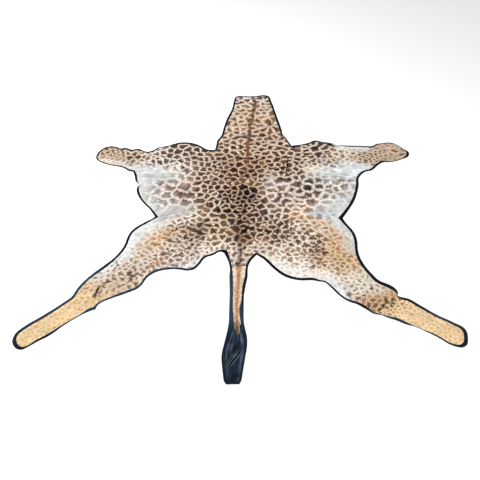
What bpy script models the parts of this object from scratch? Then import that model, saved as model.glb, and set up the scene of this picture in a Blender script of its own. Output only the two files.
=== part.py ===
# Giraffe hide rug: a whole hide with its legs spread, laid on dark felt, with its tail and tuft.
# Units are metres, the outline tables are in millimetres. The rug lies on z = 0, +Y runs along the
# back towards the neck, and +X is the rug's right side as it is seen from above.

import math

import bpy
from mathutils import Vector
from mathutils.geometry import delaunay_2d_cdt
from mathutils.kdtree import KDTree

MM = 0.001

# Cloth and skin
FELT_THICKNESS = 3.0 * MM
HIDE_THICKNESS = 3.0 * MM
TAIL_SKIN_THICKNESS = 2.4 * MM
LAYER_GAP = 0.3 * MM            # glue line between the felt and what lies on it
SEAM_GAP = 0.3 * MM             # between the hide and the tail skin

# Surface of the hide
GRID_STEP = 82 * MM             # spacing of the points that carry the hide's uneven surface
EDGE_CLEARANCE = 26 * MM        # no such point lies nearer to the cut edge than this
FOLD_ROW_STEP = 26 * MM         # spacing of the cross rows along a fold
SWELL_HEIGHT = 1.1 * MM         # how far the dried hide stands off the felt between its creases
SWELL_LENGTH_X = 610 * MM
SWELL_LENGTH_Y = 730 * MM
EDGE_FADE = 110 * MM            # the swell dies out this far from the cut edge

# Tail tuft
LOCKS_PER_LAYER = 21
LOCK_LAYERS = 2
LOCK_HEIGHT = 2.0 * MM
LOCK_STEPS = 8
LOCK_START_Y = -1166 * MM       # inside the head
LOCK_END_Y = -1508 * MM         # the shortest lock's tip
LOCK_END_SPREAD = 56 * MM       # the longest lock reaches this much further
HEAD_HEIGHT = 5.6 * MM
HEAD_WIDTH = 52 * MM
HEAD_LENGTH = 74 * MM
HEAD_CENTRE = (-17 * MM, -1162 * MM)

# The hide's cut edge, clockwise from the left armpit. Each row is x, y and the felt that shows
# beyond the edge there. The first row of each table is a sharp corner.
NECK_EDGE = [
    (-200, 722, 18), (-185, 800, 17), (-178, 865, 17), (-148, 930, 17), (-126, 1050, 18),
    (-96, 1200, 18), (-56, 1350, 16), (-36, 1500, 15), (-28, 1535, 15), (5, 1553, 13),
    (70, 1550, 8), (150, 1551, 12), (225, 1562, 16), (252, 1548, 18), (270, 1480, 18),
    (311, 1250, 17), (352, 1000, 16), (360, 962, 10),
]
NECK_STEP_EDGE = [(378, 945, 2), (385, 910, 10), (412, 835, 12)]
RIGHT_FORELEG_EDGE = [
    (430, 780, 17), (475, 780, 24), (510, 797, 12), (595, 826, 13), (650, 856, 15), (700, 848, 6),
    (775, 829, 6), (835, 806, 1), (885, 792, 9), (1050, 783, 11), (1140, 781, 14), (1175, 810, 12),
    (1220, 826, 5), (1300, 831, 7), (1345, 803, 3), (1390, 742, 7), (1404, 708, 20),
    (1396, 664, 19), (1350, 623, 7), (1250, 583, 6), (1190, 592, 17), (1140, 560, 18),
    (1065, 479, 16), (1025, 466, 14), (970, 420, 18),
]
RIGHT_FLANK_EDGE = [
    (940, 365, 18), (928, 280, 20), (905, 190, 20), (865, 85, 21), (815, -5, 21),
]
RIGHT_THIGH_EDGE = [
    (748, -106, 30), (778, -165, 20), (826, -265, 20), (838, -345, 20), (833, -470, 20),
    (850, -570, 21), (905, -695, 23), (945, -755, 24), (1030, -813, 25), (1060, -845, 15),
]
RIGHT_SHANK_EDGE = [
    (1064, -878, 2), (1080, -901, 14), (1125, -918, 17), (1193, -974, 18), (1290, -1056, 17),
    (1400, -1129, 17), (1434, -1163, 23), (1436, -1222, 24), (1412, -1275, 24), (1380, -1284, 14),
    (1250, -1198, 8), (1130, -1131, 3), (1090, -1104, 16), (1030, -1067, 19), (985, -1056, 12),
    (940, -1040, 4), (890, -1018, 12), (845, -970, 20), (795, -934, 18), (735, -912, 12),
    (690, -872, 11), (620, -777, 10), (590, -746, 8), (550, -735, 11), (515, -718, 18),
    (410, -716, 18), (320, -680, 20), (250, -610, 19), (185, -525, 18),
]
TAIL_ROOT_EDGE = [(118, -470, 20), (80, -512, 18), (55, -560, 15)]
SEAM_EDGE = [(42, -598, 22)]
TAIL_ROOT_LEFT_EDGE = [(-58, -598, 21), (-70, -540, 17)]
LEFT_SHANK_EDGE = [
    (-95, -447, 31), (-145, -446, 14), (-200, -482, 13), (-258, -508, 14), (-302, -580, 15),
    (-342, -622, 17), (-470, -616, 14), (-590, -641, 16), (-655, -696, 16), (-703, -790, 14),
    (-780, -835, 18), (-880, -890, 12), (-955, -942, 11),
]
LEFT_FOOT_EDGE = [
    (-978, -976, 22), (-1010, -992, 20), (-1050, -1032, 8), (-1150, -1118, 7), (-1235, -1196, 15),
    (-1310, -1254, 12), (-1345, -1288, 8), (-1382, -1300, 20), (-1420, -1265, 26),
    (-1430, -1212, 20), (-1394, -1158, 19), (-1292, -1068, 20), (-1197, -976, 18),
]
LEFT_THIGH_EDGE = [
    (-1125, -902, 20), (-1080, -785, 18), (-1025, -702, 18), (-945, -612, 21), (-888, -535, 16),
    (-829, -415, 17), (-809, -305, 17), (-788, -250, 17), (-706, -165, 16), (-652, -119, 12),
]
LEFT_FLANK_EDGE = [
    (-622, -93, 24), (-684, 2, 13), (-753, 94, 13), (-792, 180, 18), (-806, 250, 14),
    (-808, 285, 1), (-828, 335, 12), (-838, 400, 18),
]
LEFT_FORELEG_EDGE = [
    (-862, 463, 17), (-905, 474, 15), (-950, 507, 11), (-1105, 559, 9), (-1190, 622, 10),
    (-1193, 665, 13), (-1172, 725, 14), (-1125, 770, 14), (-1060, 768, 13), (-1025, 747, 13),
    (-975, 751, 15), (-922, 727, 15), (-865, 738, 14), (-795, 705, 9), (-738, 715, 13),
    (-695, 762, 8), (-605, 791, 8), (-555, 811, 15), (-490, 827, 17), (-395, 813, 14),
    (-345, 778, 16), (-290, 732, 16),
]
EDGE_BEFORE_TAIL = [
    NECK_EDGE, NECK_STEP_EDGE, RIGHT_FORELEG_EDGE, RIGHT_FLANK_EDGE, RIGHT_THIGH_EDGE,
    RIGHT_SHANK_EDGE, TAIL_ROOT_EDGE,
]
EDGE_AFTER_TAIL = [
    TAIL_ROOT_LEFT_EDGE, LEFT_SHANK_EDGE, LEFT_FOOT_EDGE, LEFT_THIGH_EDGE, LEFT_FLANK_EDGE,
    LEFT_FORELEG_EDGE,
]

# The felt's tongue below the tail root: y, left edge, right edge.
FELT_TONGUE = [
    (-700, -73, 51), (-800, -70, 35), (-870, -69, 26), (-930, -70, 24), (-1020, -71, 23),
    (-1110, -73, 25), (-1160, -79, 33), (-1210, -88, 42), (-1260, -97, 45), (-1320, -109, 41),
    (-1376, -115, 32), (-1440, -111, 23), (-1500, -104, 14), (-1550, -97, 6),
]
FELT_TONGUE_END = [(-6, -1572), (-84, -1573)]    # x, y of the square lower end's two corners

# The tail skin: the left and right ends of its seam, then y, left edge and right edge down its
# length, then x, y round its torn lower end.
TAIL_SKIN_TOP = (-53, 39)
TAIL_SKIN_SIDES = [
    (-640, -51, 36), (-700, -48, 31), (-750, -46, 22), (-800, -45, 13), (-870, -45, 9),
    (-930, -46, 4), (-965, -45, -4), (-1050, -42, -4), (-1100, -39, 2),
]
TAIL_SKIN_END = [
    (3, -1122), (-6, -1137), (-3, -1165), (-6, -1187), (-17, -1206), (-24, -1178), (-30, -1168),
    (-36, -1132),
]
TAIL_SKIN_ARCH = 1.6 * MM       # the middle of the tail skin stands this much over its edges
TAIL_ARCH_WIDTH = 20 * MM       # the arch rises within this distance of the edge
TAIL_CLIMB_START = 66 * MM      # the lower end climbs over the tuft's head from this far above it
TAIL_CLIMB_LENGTH = 60 * MM

# Folds of the skin: the path of each crest as x, y in mm, its height and its half width.
FOLDS = {
    "mane_top": ([(112, 1542), (136, 1450), (131, 1350), (117, 1270), (120, 1145)], 5.0, 17),
    "mane_low": ([(82, 1120), (86, 1020), (75, 900), (65, 800), (66, 690), (62, 560)], 4.2, 16),
    "left_hock": ([(-948, -790), (-962, -867), (-957, -932)], 8.0, 17),
    "left_shin": ([(-1060, -838), (-1040, -880)], 3.0, 13),
    "right_hock": ([(968, -900), (984, -945), (972, -1010), (962, -1044)], 6.5, 16),
    "right_heel": ([(1050, -872), (1028, -925), (1008, -975)], 4.0, 14),
    "left_flank": ([(-665, -148), (-590, -111), (-497, -77), (-410, -32)], 4.2, 19),
    "left_flank_upper": ([(-610, -86), (-545, -56), (-480, -30)], 3.0, 15),
    "right_flank": ([(715, -98), (603, -67), (500, -28)], 4.0, 19),
    "left_groin_outer": ([(-318, -400), (-334, -480), (-338, -585)], 3.4, 14),
    "left_groin_inner": ([(-288, -408), (-296, -480), (-300, -545)], 3.0, 13),
    "right_foreleg_roll": ([(662, 838), (720, 826), (790, 806), (845, 792)], 7.0, 15),
    "left_armpit": ([(-800, 400), (-690, 386), (-560, 392)], 2.6, 20),
    "right_armpit": ([(900, 410), (780, 392), (650, 398)], 2.6, 20),
}

BACK_BROWN = (0.21, 0.13, 0.085)
FELT_NAVY = (0.010, 0.016, 0.026)
TAIL_TAN = (0.58, 0.37, 0.20)
TUFT_BLACK = (0.012, 0.013, 0.018)


def clear_scene():
    for item in list(bpy.data.objects):
        bpy.data.objects.remove(item, do_unlink=True)


def new_collection(name, parent):
    collection = bpy.data.collections.new(name)
    parent.children.link(collection)
    return collection


def new_material(name, colour, roughness):
    material = bpy.data.materials.new(name)
    material.use_nodes = True
    shader = material.node_tree.nodes["Principled BSDF"]
    shader.inputs["Base Color"].default_value = (*colour, 1.0)
    shader.inputs["Roughness"].default_value = roughness
    shader.inputs["Metallic"].default_value = 0.0
    return material


def to_metres(rows):
    return [Vector((row[0] * MM, row[1] * MM)) for row in rows]


# Moves every point of a closed ring outwards by its own distance, square to the ring there.
def offset_ring(points, distances):
    moved = []
    for i, point in enumerate(points):
        before = (point - points[i - 1]).normalized()
        after = (points[(i + 1) % len(points)] - point).normalized()
        along = (before + after).normalized()
        moved.append(point + Vector((-along.y, along.x)) * distances[i])
    return moved


# Closed curve through the points: smooth at all of them but the corners.
def ring_curve(name, points, corners, steps):
    curve = bpy.data.curves.new(name, "CURVE")
    curve.dimensions = "2D"
    curve.fill_mode = "NONE"
    spline = curve.splines.new("BEZIER")
    spline.bezier_points.add(len(points) - 1)
    for i, (knot, point) in enumerate(zip(spline.bezier_points, points)):
        knot.co = (point.x, point.y, 0.0)
        kind = "VECTOR" if i in corners else "AUTO"
        knot.handle_left_type = kind
        knot.handle_right_type = kind
    spline.use_cyclic_u = True
    spline.resolution_u = steps
    return curve


# The curve's points in order, as Blender evaluates it.
def curve_points(curve):
    guide = bpy.data.objects.new(curve.name + "_guide", curve)
    bpy.context.scene.collection.objects.link(guide)
    bpy.context.view_layer.update()
    evaluated = guide.evaluated_get(bpy.context.evaluated_depsgraph_get())
    mesh = bpy.data.meshes.new_from_object(evaluated)
    points = [vertex.co.xy for vertex in mesh.vertices]
    bpy.data.objects.remove(guide, do_unlink=True)
    bpy.data.meshes.remove(mesh)
    return [point.copy() for point in points]


# Points at even steps along an open path.
def walk_path(path, step):
    walked = []
    for start, end in zip(path, path[1:]):
        count = max(1, round((end - start).length / step))
        walked += [start.lerp(end, k / count) for k in range(count)]
    return walked + [path[-1]]


# Distance from a point to a path, and how far along the path its foot lies, from 0 to 1.
def path_distance(point, path):
    total = sum((b - a).length for a, b in zip(path, path[1:]))
    nearest, foot, passed = math.inf, 0.0, 0.0
    for a, b in zip(path, path[1:]):
        run = b - a
        part = max(0.0, min(1.0, (point - a).dot(run) / run.length_squared))
        gap = (point - (a + run * part)).length
        if gap < nearest:
            nearest, foot = gap, (passed + part * run.length) / total
        passed += run.length
    return nearest, foot


def is_inside(point, ring):
    inside = False
    for a, b in zip(ring, ring[1:] + ring[:1]):
        if (a.y > point.y) != (b.y > point.y):
            crossing = a.x + (point.y - a.y) / (b.y - a.y) * (b.x - a.x)
            if point.x < crossing:
                inside = not inside
    return inside


def point_tree(points):
    tree = KDTree(len(points))
    for i, point in enumerate(points):
        tree.insert((point.x, point.y, 0.0), i)
    tree.balance()
    return tree


def tree_distance(tree, point):
    return tree.find((point.x, point.y, 0.0))[2]


# Height of a fold's cosine-shaped crest over the felt; it rises from nothing at the path's ends.
def fold_height(point, fold):
    path, height, half_width = fold
    gap, foot = path_distance(point, path)
    if gap >= half_width:
        return 0.0
    across = 0.5 + 0.5 * math.cos(math.pi * gap / half_width)
    ends = min(1.0, 5.0 * foot + 0.25, 5.0 * (1.0 - foot) + 0.25)
    return height * across * ends


# Points in cross rows over a fold: on its crest, its two foot lines and halfway between them.
def fold_rows(fold, step):
    path, _, half_width = fold
    crest = walk_path(path, step)
    rows = []
    for i, point in enumerate(crest):
        run = (crest[min(i + 1, len(crest) - 1)] - crest[max(i - 1, 0)]).normalized()
        across = Vector((-run.y, run.x)) * half_width
        rows += [point + across * share for share in (-1.0, -0.5, 0.0, 0.5, 1.0)]
    return rows


def hide_folds():
    return [(to_metres(path), height * MM, half_width * MM)
            for path, height, half_width in FOLDS.values()]


# Soft swell of the dried skin: two crossed waves, from 0 to twice SWELL_HEIGHT.
def swell(point):
    wave_x = math.sin(2 * math.pi * (point.x / SWELL_LENGTH_X + 0.35 * point.y / SWELL_LENGTH_Y))
    wave_y = math.sin(2 * math.pi * (point.y / SWELL_LENGTH_Y - 0.20 * point.x / SWELL_LENGTH_X))
    return SWELL_HEIGHT * (1.0 + 0.5 * wave_x + 0.5 * wave_y)


# Flat sheet inside a ring: a Delaunay net over the ring and the points inside, lifted to shape,
# with the Solidify modifier giving its thickness upwards.
def sheet_object(name, ring, inner, height_at, thickness, material, collection):
    points = ring + inner
    outline = list(range(len(ring)))
    found = delaunay_2d_cdt(points, [], [outline], 1, 1e-6)
    net_points, _, net_faces = found[0], found[1], found[2]
    mesh = bpy.data.meshes.new(name)
    mesh.from_pydata([(p.x, p.y, height_at(p)) for p in net_points], [], net_faces)
    mesh.materials.append(material)
    sheet = bpy.data.objects.new(name, mesh)
    collection.objects.link(sheet)
    solid = sheet.modifiers.new("thickness", "SOLIDIFY")
    solid.thickness = thickness
    solid.offset = 1.0
    return sheet


def edge_rows():
    rows, corners = [], set()
    for table in EDGE_BEFORE_TAIL + [SEAM_EDGE] + EDGE_AFTER_TAIL:
        corners.add(len(rows))
        rows += table
    return rows, corners


def build_hide(collection):
    rows, corners = edge_rows()
    ring = curve_points(ring_curve("hide_edge", to_metres(rows), corners, 3))
    edge_tree = point_tree(ring)
    folds = hide_folds()

    inner = []
    for fold in folds:
        for point in fold_rows(fold, FOLD_ROW_STEP):
            if is_inside(point, ring) and tree_distance(edge_tree, point) > 0.3 * EDGE_CLEARANCE:
                inner.append(point)
    fold_tree = point_tree(inner)
    left, right = min(p.x for p in ring), max(p.x for p in ring)
    low, high = min(p.y for p in ring), max(p.y for p in ring)
    row_step = GRID_STEP * math.sqrt(3.0) / 2.0
    for row in range(int((high - low) / row_step) + 1):
        for column in range(int((right - left) / GRID_STEP) + 1):
            point = Vector((left + GRID_STEP * (column + 0.5 * (row % 2)), low + row_step * row))
            if tree_distance(edge_tree, point) < EDGE_CLEARANCE:
                continue
            if tree_distance(fold_tree, point) < 0.45 * GRID_STEP:
                continue
            if is_inside(point, ring):
                inner.append(point)

    floor = FELT_THICKNESS + LAYER_GAP

    def height_at(point):
        fade = min(1.0, tree_distance(edge_tree, point) / EDGE_FADE)
        crest = max(fold_height(point, fold) for fold in folds)
        return floor + max(swell(point) * fade, crest)

    skin = new_material("giraffe_hide", BACK_BROWN, 0.75)
    return sheet_object("hide", ring, inner, height_at, HIDE_THICKNESS, skin, collection)


def felt_ring():
    rows, corners = edge_rows()
    points = to_metres(rows)
    points = offset_ring(points, [row[2] * MM for row in rows])
    before = sum(len(table) for table in EDGE_BEFORE_TAIL) + len(SEAM_EDGE)
    right_side = [Vector((right * MM, y * MM)) for y, _, right in FELT_TONGUE]
    left_side = [Vector((left * MM, y * MM)) for y, left, _ in reversed(FELT_TONGUE)]
    tongue = right_side + to_metres(FELT_TONGUE_END) + left_side
    added = len(tongue)
    first_corner = before + len(right_side)
    tongue_corners = {first_corner, first_corner + 1}
    # the seam's two corners are smooth on the felt, which runs on below the tail
    smooth = {before - 1, before}
    kept = {i if i < before else i + added for i in corners - smooth}
    return points[:before] + tongue + points[before:], kept | tongue_corners


def build_felt(collection):
    points, corners = felt_ring()
    curve = ring_curve("felt_backing", points, corners, 3)
    curve.fill_mode = "BOTH"
    curve.extrude = FELT_THICKNESS / 2.0
    curve.materials.append(new_material("navy_felt", FELT_NAVY, 0.95))
    felt = bpy.data.objects.new("felt_backing", curve)
    felt.location.z = FELT_THICKNESS / 2.0
    collection.objects.link(felt)
    return felt


def build_tail_skin(collection):
    seam_y = SEAM_EDGE[0][1] * MM - SEAM_GAP
    right_side = [Vector((right * MM, y * MM)) for y, _, right in TAIL_SKIN_SIDES]
    left_side = [Vector((left * MM, y * MM)) for y, left, _ in reversed(TAIL_SKIN_SIDES)]
    points = [Vector((side * MM, seam_y)) for side in TAIL_SKIN_TOP]
    points += right_side + to_metres(TAIL_SKIN_END) + left_side
    torn = range(len(right_side) + 2, len(right_side) + 2 + len(TAIL_SKIN_END))
    ring = curve_points(ring_curve("tail_edge", points, {0, 1} | set(torn), 2))
    middle = [Vector(((left + right) / 2 * MM, y * MM)) for y, left, right in TAIL_SKIN_SIDES]
    middle = walk_path(middle, 30 * MM)
    middle += to_metres([(-16, -1130), (-16, -1160)])
    edge_tree = point_tree(ring)
    head_edge_y = HEAD_CENTRE[1] + HEAD_LENGTH / 2.0

    def height_at(point):
        arch = TAIL_SKIN_ARCH * min(1.0, tree_distance(edge_tree, point) / TAIL_ARCH_WIDTH)
        climb = (head_edge_y + TAIL_CLIMB_START - point.y) / TAIL_CLIMB_LENGTH
        climb = min(1.0, max(0.0, climb))
        return FELT_THICKNESS + LAYER_GAP + arch + (HEAD_HEIGHT + LAYER_GAP) * climb

    skin = new_material("tail_skin", TAIL_TAN, 0.8)
    return sheet_object("tail_skin", ring, middle, height_at, TAIL_SKIN_THICKNESS, skin, collection)


# Half the width of the fan of locks and the fan's middle line: y, middle x, half width.
TUFT_FAN = [
    (-1150, -17, 19), (-1200, -20, 31), (-1260, -24, 47), (-1330, -31, 55), (-1400, -39, 52),
    (-1470, -43, 45), (-1530, -45, 40), (-1566, -46, 38),
]


def fan_at(y):
    for (y0, x0, w0), (y1, x1, w1) in zip(TUFT_FAN, TUFT_FAN[1:]):
        if y * 1000 >= y1 or y1 == TUFT_FAN[-1][0]:
            share = (y0 - y * 1000) / (y0 - y1)
            return (x0 + (x1 - x0) * share) * MM, (w0 + (w1 - w0) * share) * MM


# One lock: a four-sided strand, square in section, that tapers to its tip and lies level.
def lock_faces(across, layer, index, verts, faces):
    reach = 0.5 + 0.5 * math.sin(2.4 * index + 1.7 * layer)
    end_y = LOCK_END_Y - LOCK_END_SPREAD * reach
    base = len(verts)
    floor = FELT_THICKNESS + LAYER_GAP + layer * (LOCK_HEIGHT + LAYER_GAP)
    for step in range(LOCK_STEPS + 1):
        share = step / LOCK_STEPS
        y = LOCK_START_Y + (end_y - LOCK_START_Y) * share
        middle, half_fan = fan_at(y)
        pitch = 2.0 * half_fan / LOCKS_PER_LAYER
        sway = 0.12 * pitch * math.sin(3.0 * math.pi * share + index)
        half = 0.36 * pitch * (1.0 - 0.75 * share ** 4)
        x = middle + across * half_fan + sway
        top = floor + LOCK_HEIGHT * (1.0 - 0.6 * share ** 4)
        verts += [(x - half, y, floor), (x + half, y, floor), (x + 0.6 * half, y, top),
                  (x - 0.6 * half, y, top)]
    for step in range(LOCK_STEPS):
        a = base + 4 * step
        for side in range(4):
            b = (side + 1) % 4
            faces.append((a + side, a + side + 4, a + b + 4, a + b))
    last = base + 4 * LOCK_STEPS
    faces.append((base, base + 1, base + 2, base + 3))
    faces.append((last + 3, last + 2, last + 1, last))


def build_tuft(collection, cutters):
    verts, faces = [], []
    for layer in range(LOCK_LAYERS):
        count = LOCKS_PER_LAYER - layer
        for index in range(count):
            across = (2.0 * index + 1.0 + layer) / LOCKS_PER_LAYER - 1.0
            lock_faces(across, layer, index, verts, faces)
    mesh = bpy.data.meshes.new("tuft_locks")
    mesh.from_pydata(verts, [], faces)
    locks = bpy.data.objects.new("tuft_locks", mesh)
    locks.display_type = "WIRE"
    locks.hide_render = True
    cutters.objects.link(locks)

    bpy.ops.mesh.primitive_cube_add(size=1.0)
    head = bpy.context.active_object
    head.name = "tail_tuft"
    head.data.name = "tail_tuft"
    head.dimensions = (HEAD_WIDTH, HEAD_LENGTH, HEAD_HEIGHT)
    floor = FELT_THICKNESS + LAYER_GAP
    head.location = (*HEAD_CENTRE, floor + HEAD_HEIGHT / 2.0)
    bpy.context.view_layer.update()
    bpy.ops.object.transform_apply(location=False, rotation=False, scale=True)
    for owner in head.users_collection:
        owner.objects.unlink(head)
    collection.objects.link(head)
    head.data.materials.append(new_material("tuft_hair", TUFT_BLACK, 0.45))
    edge = head.modifiers.new("rounded", "BEVEL")
    edge.width = 1.8 * MM
    edge.segments = 2
    edge.limit_method = "ANGLE"
    join = head.modifiers.new("roots", "BOOLEAN")
    join.operation = "UNION"
    join.solver = "EXACT"
    join.object = locks
    return head


def main():
    clear_scene()
    top = bpy.context.scene.collection
    rug = new_collection("giraffe_hide_rug", top)
    cutters = new_collection("cutters", top)
    build_felt(rug)
    build_hide(rug)
    build_tail_skin(rug)
    build_tuft(rug, cutters)


main()
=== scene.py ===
import math

import bpy
import numpy as np
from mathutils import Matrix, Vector
from mathutils.geometry import delaunay_2d_cdt


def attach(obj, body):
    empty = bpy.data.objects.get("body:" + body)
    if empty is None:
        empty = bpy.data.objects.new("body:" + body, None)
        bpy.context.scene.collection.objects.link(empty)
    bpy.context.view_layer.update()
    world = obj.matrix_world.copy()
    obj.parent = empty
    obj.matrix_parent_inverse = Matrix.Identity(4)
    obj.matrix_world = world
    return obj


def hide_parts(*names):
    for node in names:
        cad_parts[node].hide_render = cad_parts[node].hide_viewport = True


# Giraffe hide rug, seen from above and before its tail. Metres throughout; +Y runs up the neck.

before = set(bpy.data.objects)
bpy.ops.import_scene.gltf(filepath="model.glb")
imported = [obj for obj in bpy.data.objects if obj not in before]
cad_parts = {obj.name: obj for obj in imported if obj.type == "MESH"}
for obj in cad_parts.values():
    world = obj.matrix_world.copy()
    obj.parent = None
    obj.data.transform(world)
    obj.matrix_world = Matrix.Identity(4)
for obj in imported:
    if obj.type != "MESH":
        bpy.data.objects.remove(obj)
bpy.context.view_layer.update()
mm = 0.001


# Screen colour 0-255 to linear light: (c + 0.055) / 1.055 to the power 2.4, straight near black.
def light(*shade):
    part = np.array(shade, float) / 255.0
    return np.where(part <= 0.04045, part / 12.92, ((part + 0.055) / 1.055) ** 2.4)


# Rolling noise from -1 to 1: random knots on a square net, eased between knots with 3t^2 - 2t^3.
def rolling(x, y, cell, seed, side=64, shift=(17.3, 31.7)):
    knots = np.random.default_rng(seed).uniform(-1.0, 1.0, (side, side))
    u, v = x / cell + shift[0], y / cell + shift[1]
    i, j = np.floor(u).astype(int), np.floor(v).astype(int)
    s, t = u - i, v - j
    s, t = s * s * (3.0 - 2.0 * s), t * t * (3.0 - 2.0 * t)
    near, far = i % side, (i + 1) % side
    low, high = (knots[row % side, near] * (1.0 - s) + knots[row % side, far] * s
                 for row in (j, j + 1))
    return low * (1.0 - t) + high * t


# From 0 to 1 between two values, eased with 3t^2 - 2t^3.
def ease(value, start, end):
    t = np.clip((value - start) / (end - start), 0.0, 1.0)
    return t * t * (3.0 - 2.0 * t)


# Distance to a path of straight runs, and the share of the path passed at its nearest point. The
# path is written in millimetres, or in another part of a metre.
def pathGap(x, y, path, perMetre=1000):
    path = np.array(path, float) / perMetre
    if len(path) == 1:
        return np.hypot(x - path[0, 0], y - path[0, 1]), np.zeros_like(x)
    runs = np.diff(path, axis=0)
    lengths = np.hypot(runs[:, 0], runs[:, 1])
    passed = np.cumsum(lengths) - lengths
    gap, share = np.full(np.shape(x), 1e9), np.zeros(np.shape(x))
    for start, run, length, before in zip(path, runs, lengths, passed):
        part = ((x - start[0]) * run[0] + (y - start[1]) * run[1]) / length ** 2
        part = np.clip(part, 0.0, 1.0)
        away = np.hypot(x - start[0] - part * run[0], y - start[1] - part * run[1])
        share = np.where(away < gap, before + part * length, share)
        gap = np.minimum(away, gap)
    return gap, share / lengths.sum()


# Nearest targets of each place, in order: the floor is cut into squares, and the places in one
# square only look at targets up to reach beyond it.
def nearest(places, targets, count, square=0.12, reach=0.17):
    found = np.zeros((len(places), count), int)
    gaps = np.full((len(places), count), reach)
    cell = np.floor(places / square).astype(int)
    order = np.lexsort((cell[:, 0], cell[:, 1]))
    steps = np.any(np.diff(cell[order], axis=0) != 0, axis=1)
    for rows in np.split(order, np.flatnonzero(steps) + 1):
        low = cell[rows[0]] * square - reach
        high = low + square + 2.0 * reach
        near = np.flatnonzero(np.all((targets > low) & (targets < high), axis=1))
        if len(near) < count:
            continue
        away = np.hypot(*(places[rows, None] - targets[near]).transpose(2, 0, 1))
        pick = np.argpartition(away, count - 1, axis=1)[:, :count]
        pick = np.take_along_axis(pick, np.argsort(np.take_along_axis(away, pick, 1), 1), 1)
        found[rows] = near[pick]
        gaps[rows] = np.take_along_axis(away, pick, 1)
    return found, gaps


# Points of a mesh as rows of x, y and z.
def pointsOf(mesh):
    places = np.empty(len(mesh.vertices) * 3, np.float32)
    mesh.vertices.foreach_get("co", places)
    return places.reshape(-1, 3)


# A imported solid's cut edge seen from above, anticlockwise: the sides that only one upward triangle
# has, joined end to end. Points that agree to the nearest grain are one.
def cutEdge(nodeName, grainsPerMetre=2e4):
    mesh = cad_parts[nodeName].data
    mesh.calc_loop_triangles()
    corners = np.empty(len(mesh.loop_triangles) * 3, np.int32)
    mesh.loop_triangles.foreach_get("vertices", corners)
    places = np.round(pointsOf(mesh) * grainsPerMetre).astype(np.int64)
    merged, same = np.unique(places, axis=0, return_inverse=True)
    corners = same.reshape(-1)[corners].reshape(-1, 3)
    merged = merged / grainsPerMetre
    a, b, c = merged[corners].transpose(1, 0, 2)
    normal = np.cross(b - a, c - a)
    up = corners[normal[:, 2] > 0.5 * np.linalg.norm(normal, axis=1) + 1e-12]
    start, end = up.ravel(), np.roll(up, -1, axis=1).ravel()
    single = ~np.isin(start * len(merged) + end, end * len(merged) + start)
    after = dict(zip(start[single].tolist(), end[single].tolist()))
    longest = []
    while after:
        first, corner = next(iter(after.items()))
        ring = [first]
        del after[first]
        while corner != first and corner in after:
            ring.append(corner)
            corner = after.pop(corner)
        longest = max(longest, ring, key=len)
    return merged[longest][:, :2]


# Finer edge through the same points: cubic runs whose end tangents follow the neighbours' chord,
# or the run itself at a corner sharper than this many degrees.
def fineEdge(points, step, corner=35):
    ahead = np.roll(points, -1, axis=0) - points
    length = np.hypot(*ahead.T)
    ahead /= length[:, None]
    behind = np.roll(ahead, 1, axis=0)
    chord = ahead + behind
    chord /= np.maximum(np.hypot(*chord.T), 1e-9)[:, None]
    sharp = (np.sum(ahead * behind, axis=1) < math.cos(math.radians(corner)))[:, None]
    leave = np.where(sharp, ahead, chord)
    arrive = np.roll(np.where(sharp, behind, chord), -1, axis=0)
    counts = np.maximum(1, np.round(length / step)).astype(int)
    run = np.repeat(np.arange(len(points)), counts)
    t = (np.arange(len(run)) - np.repeat(np.cumsum(counts) - counts, counts)) / counts[run]
    t = t[:, None]
    following = np.roll(points, -1, axis=0)
    pull = length[run][:, None]
    return ((2 * t ** 3 - 3 * t ** 2 + 1) * points[run] + (3 * t ** 2 - 2 * t ** 3) * following[run]
            + pull * ((t ** 3 - 2 * t ** 2 + t) * leave[run] + (t ** 3 - t ** 2) * arrive[run]))


# Outward direction at each point of an anticlockwise edge: its tangent turned a quarter right.
def outward(edge):
    along = np.roll(edge, -1, axis=0) - np.roll(edge, 1, axis=0)
    along /= np.maximum(np.hypot(*along.T), 1e-9)[:, None]
    return np.stack([along[:, 1], -along[:, 0]], axis=1)


# A knife-cut edge: it wanders in and out by two rolling noises, and stands further out by given
# amounts, on every side and on the sides towards the neck.
def knifeCut(edge, long, short, seed, allRound, neckward):
    x, y = edge.T
    out = outward(edge)
    wander = long * rolling(x, y, 0.035, seed) + short * rolling(x, y, 0.011, seed + 1)
    wander += allRound + neckward * np.maximum(out[:, 1], 0.0)
    return edge + out * wander[:, None]


# Where a level row crosses an edge, from left to right.
def crossings(edge, y):
    following = np.roll(edge, -1, axis=0)
    crosses = (edge[:, 1] > y) != (following[:, 1] > y)
    a, b = edge[crosses], following[crosses]
    return np.sort(a[:, 0] + (y - a[:, 1]) / (b[:, 1] - a[:, 1]) * (b[:, 0] - a[:, 0]))


# True for places inside an edge: their row crosses the edge an odd number of times before them.
def insideEdge(places, edge):
    inside = np.zeros(len(places), bool)
    for y in np.unique(places[:, 1]):
        row = places[:, 1] == y
        inside[row] = np.searchsorted(crossings(edge, y), places[row, 0]) % 2 == 1
    return inside


# Points of a triangle net inside an edge. A row is inside from its first crossing of the edge to
# its second, and so on; points nearer to the edge than clear are left out.
def netInside(edge, step, clear):
    low, high = edge.min(0), edge.max(0)
    rowStep = step * math.sqrt(3.0) / 2.0
    rows = []
    for k, y in enumerate(np.arange(low[1] + 0.37 * rowStep, high[1], rowStep)):
        x = np.arange(low[0] + 0.5 * step * (k % 2), high[0], step)
        x = x[np.searchsorted(crossings(edge, y), x) % 2 == 1]
        rows.append(np.stack([x, np.full(len(x), y)], axis=1))
    points = np.concatenate(rows)
    return points[nearest(points, edge, 1)[1][:, 0] > clear]


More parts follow.
